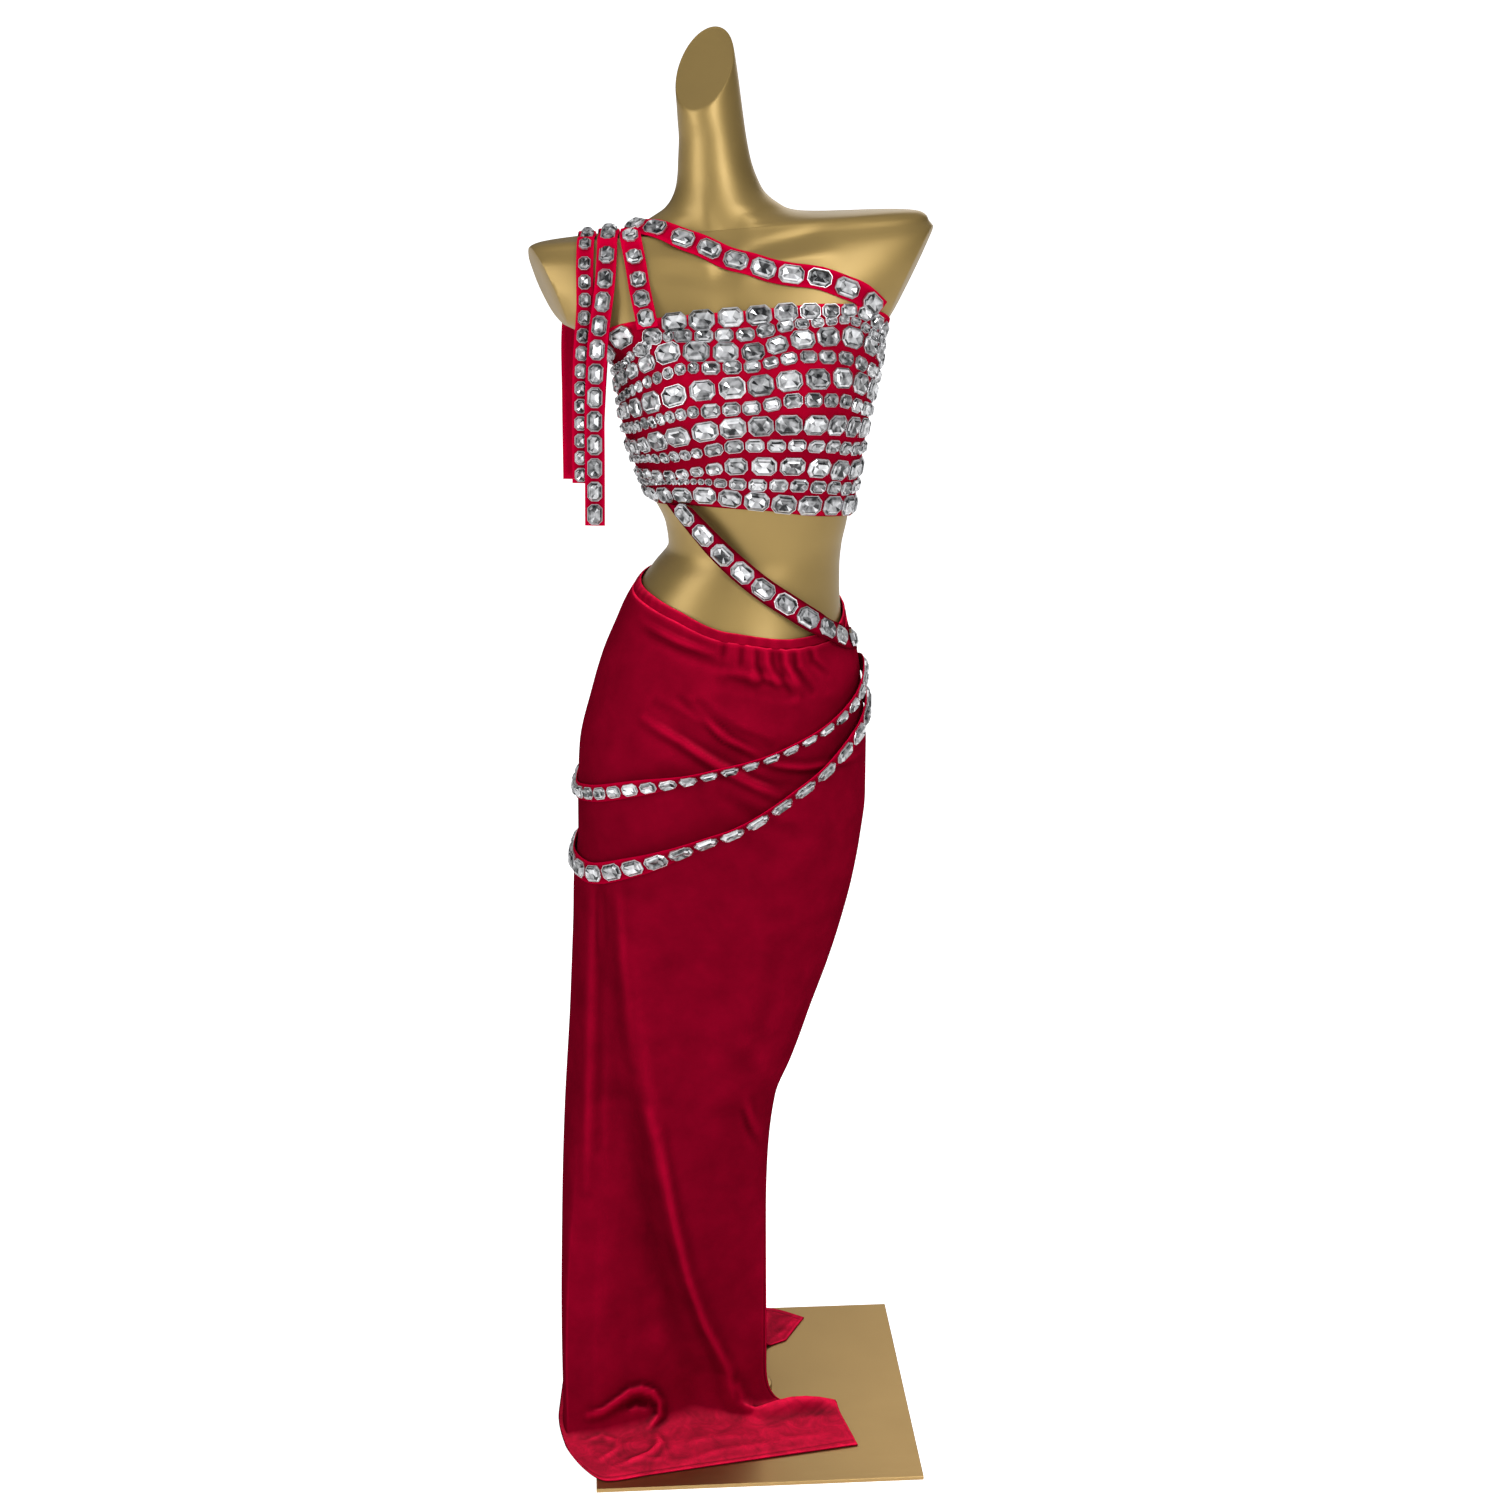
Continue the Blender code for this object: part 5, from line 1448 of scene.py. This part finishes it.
# angle, height, twist of the face towards the floor (degrees, mm, degrees)
HIP_UPPER = [
    (0, 934, 10),
    (30, 912, 20),
    (60, 885, 58),
    (90, 856, 64),
    (120, 831, 14),
    (150, 809, 0),
    (180, 797, 0),
    (210, 812, 5),
    (240, 838, 10),
    (270, 866, 15),
    (300, 892, 10),
    (330, 918, 10),
    (360, 934, 10),
]
HIP_LOWER = [
    (0, 898, 5),
    (30, 876, 15),
    (60, 836, 42),
    (90, 783, 52),
    (120, 741, 15),
    (150, 716, 0),
    (180, 714, 5),
    (210, 738, 5),
    (240, 775, 10),
    (270, 815, 15),
    (300, 852, 10),
    (330, 884, 5),
    (360, 898, 5),
]


def outer_tree(pieces):
    """Search tree over whole bodies and over the outer side of cloth."""
    points = []
    faces = []
    for piece in pieces:
        start = len(points)
        points += [v.co.copy() for v in piece.data.vertices]
        outer = list(piece.data.polygons)[:piece.get("outer_faces")]
        faces += [tuple(start + i for i in face.vertices) for face in outer]
    return BVHTree.FromPolygons(points, faces)


def smooth_line(table, per_span):
    """Smooth curve through a table of points."""
    knots = [Vector(row) for row in table]
    knots = [knots[0] * 2 - knots[1]] + knots + [knots[-1] * 2 - knots[-2]]
    line = []
    for k in range(1, len(knots) - 2):
        line += [smooth_between(*knots[k - 1:k + 3], i / per_span) for i in range(per_span)]
    line.append(knots[-2])
    return line


def even_line(line, pitch):
    """Points about one pitch apart along a line, and its length."""
    run = [0.0]
    for a, b in zip(line, line[1:]):
        run.append(run[-1] + (b - a).length)
    count = max(2, round(run[-1] / pitch))
    found = []
    for k in range(count + 1):
        at = run[-1] * k / count
        i = min(int(np.searchsorted(run, at, side="right")) - 1, len(line) - 2)
        found.append(line[i].lerp(line[i + 1], (at - run[i]) / (run[i + 1] - run[i])))
    return found, run[-1]


def line_direction(line, k, closed):
    count = len(line)
    if closed:
        return (line[(k + 1) % count] - line[k - 1]).normalized()
    return (line[min(k + 1, count - 1)] - line[max(k - 1, 0)]).normalized()


def evened(values, closed, passes):
    """Values or vectors along a line, each averaged with its neighbours."""
    for _ in range(passes):
        before = [values[-1] if closed else values[0]] + values[:-1]
        after = values[1:] + [values[0] if closed else values[-1]]
        values = [a * 0.25 + b * 0.5 + c * 0.25 for a, b, c in zip(before, values, after)]
    return values


def lay_strap(line, tree, width, closed, facing, twists):
    """Middle, side and face of a strap at each station, raised until its underside is clear."""
    count = len(line)
    normals = []
    for k, point in enumerate(line):
        _, normal, _, _ = tree.find_nearest(point * MM)
        if facing is not None:
            normal = line_direction(line, k, closed).cross(facing)
            if normal.dot(point - Vector((point.x, 0, SHOULDER_MIDDLE))) < 0:
                normal = -normal
        normals.append(normal)
    normals = evened(normals, closed, HIP_SMOOTH_PASSES if closed else SMOOTH_PASSES)
    frames = []
    outs = []
    for k, point in enumerate(line):
        along = line_direction(line, k, closed)
        face = (normals[k] - along * normals[k].dot(along)).normalized()
        outs.append(face)
        side = face.cross(along)
        if twists is not None:
            turn = math.radians(twists[k])
            up = side if side.z > 0 else -side
            face = face * math.cos(turn) - up * math.sin(turn)
            side = face.cross(along)
        frames.append((point, side, face))
    for _ in range(SETTLE_PASSES):
        lifts = []
        for point, side, _ in frames:
            lift = 0.0
            for across in (-0.5, -0.25, 0, 0.25, 0.5):
                spot = point + side * width * across
                place, normal, _, _ = tree.find_nearest(spot * MM)
                lift = max(lift, STRAP_CLEAR - (spot - place / MM).dot(normal))
            lifts.append(lift)
        if max(lifts) < SETTLED:
            break
        reach = BRIDGE_REACH if closed else 1
        wide = [max(lifts[(k + d) % count] for d in range(-reach, reach + 1) if closed or 0 <= k + d < count)
                for k in range(count)]
        lifts = evened(wide, closed, HIP_LIFT_PASSES if closed else LIFT_PASSES)
        frames = [(p + out * lift, s, f) for (p, s, f), out, lift in zip(frames, outs, lifts)]
    return frames


def strap_piece(node, frames, length, sizes, closed, plain_ends=(0, 0)):
    """A strap's band of cloth and its row of stones."""
    width, pitch = sizes
    rings = [[point + side * width * a + face * STRAP_THICK * b for a, b in STRAP_SECTION]
             for point, side, face in frames]
    if node == "waist_strap":
        rings = [[(p.x, p.y, min(p.z, WAIST_STRAP_CUT)) for p in ring] for ring in rings]
    points, faces = closed_loft(rings, closed)
    band = solid_piece(f"{node}_band", points, faces, strap_velvet, BAND_SHARP, node)
    count = len(frames)
    stoned = length - sum(plain_ends)
    cells = max(2, round(stoned / pitch))
    places = []
    for k in range(cells):
        at = (plain_ends[0] + stoned * (k + 0.5) / cells) / length * (count if closed else count - 1)
        low = int(at)
        high = (low + 1) % count
        share = at - low
        origin = frames[low][0].lerp(frames[high][0], share) + frames[low][2] * STRAP_THICK
        along = np.array(frames[high][0] - frames[low][0])
        out = np.array(frames[low][2].lerp(frames[high][2], share).normalized())
        grow = 1 + jitter(SIZE_JITTER)
        stone = ((stoned / cells - STRAP_GAP) * grow, (width - 2 * STRAP_EDGE) * grow)
        places.append((np.array(origin), along, out, *stone))
    # the tails' stones get darker painted reflections
    stones = stones_piece(f"{node}_stones", places, TAIL_REFLECTION_SHADE if "tail" in node else 1.0)


def hip_path(table, pitch):
    """Closed middle line of a hip strap and its twist at each station."""
    angles = np.arange(0, 361, HIP_STEP)
    heights = around_values(table, angles, 1)
    front = skirt_points("front", heights, np.clip(1 - angles / 180, 0, 1))
    back = skirt_points("back", heights, np.clip(angles / 180 - 1, 0, 1))
    dense = np.where((angles <= 180)[:, None], front, back)
    line, length = even_line([Vector(p) for p in dense], pitch)
    run = run_along(dense)
    line = line[:-1]
    turned = around_values(table, angles, 2)
    twists = [float(np.interp(run[-1] * k / len(line), run, turned)) for k in range(len(line))]
    return line, length, twists


strap_velvet = velvet("crimson velvet of the straps", STRAP_RED, 0.08, 0.0)
form_tree = outer_tree([form_shell])
waist_tree = outer_tree([form_shell, casing_cloth, skirt_front_cloth, skirt_back_cloth])
hip_tree = outer_tree([skirt_front_cloth, skirt_back_cloth])
sideways = Vector((1, 0, 0.06)).normalized()

for strap_node, path, sizes, tree, facing, held, rests_on in (
    ("neck_strap", NECK_PATH, NECK_SIZES, form_tree, None, "laid", ["form_shell"]),
    ("shoulder_strap", SHOULDER_PATH, SHOULDER_SIZES, form_tree, sideways, "laid", ["form_shell"]),
    ("tie_tail_small", TAIL_SMALL_PATH, TAIL_SMALL_SIZES, form_tree, sideways, "draped", ["form_shell"]),
    ("tie_tail_large", TAIL_LARGE_PATH, TAIL_LARGE_SIZES, form_tree, sideways, "draped", ["form_shell"]),
    ("waist_strap", WAIST_PATH, WAIST_SIZES, waist_tree, None, "stretched",
     ["form_shell", "waist_casing_cloth"]),
):
    before, after, *plain_ends = STRAP_TUCKS[strap_node]
    line, length = even_line(smooth_line(before + path + after, SPAN_POINTS), STRAP_PITCH)
    frames = lay_strap(line, tree, sizes[0], False, facing, None)
    strap_piece(strap_node, frames, length, sizes, False, plain_ends)

for strap_node, table, sizes in (
    ("hip_strap_upper", HIP_UPPER, HIP_UPPER_SIZES),
    ("hip_strap_lower", HIP_LOWER, HIP_LOWER_SIZES),
):
    line, length, twists = hip_path(table, STRAP_PITCH)
    frames = lay_strap(line, hip_tree, sizes[0], True, None, twists)
    strap_piece(strap_node, frames, length, sizes, True)
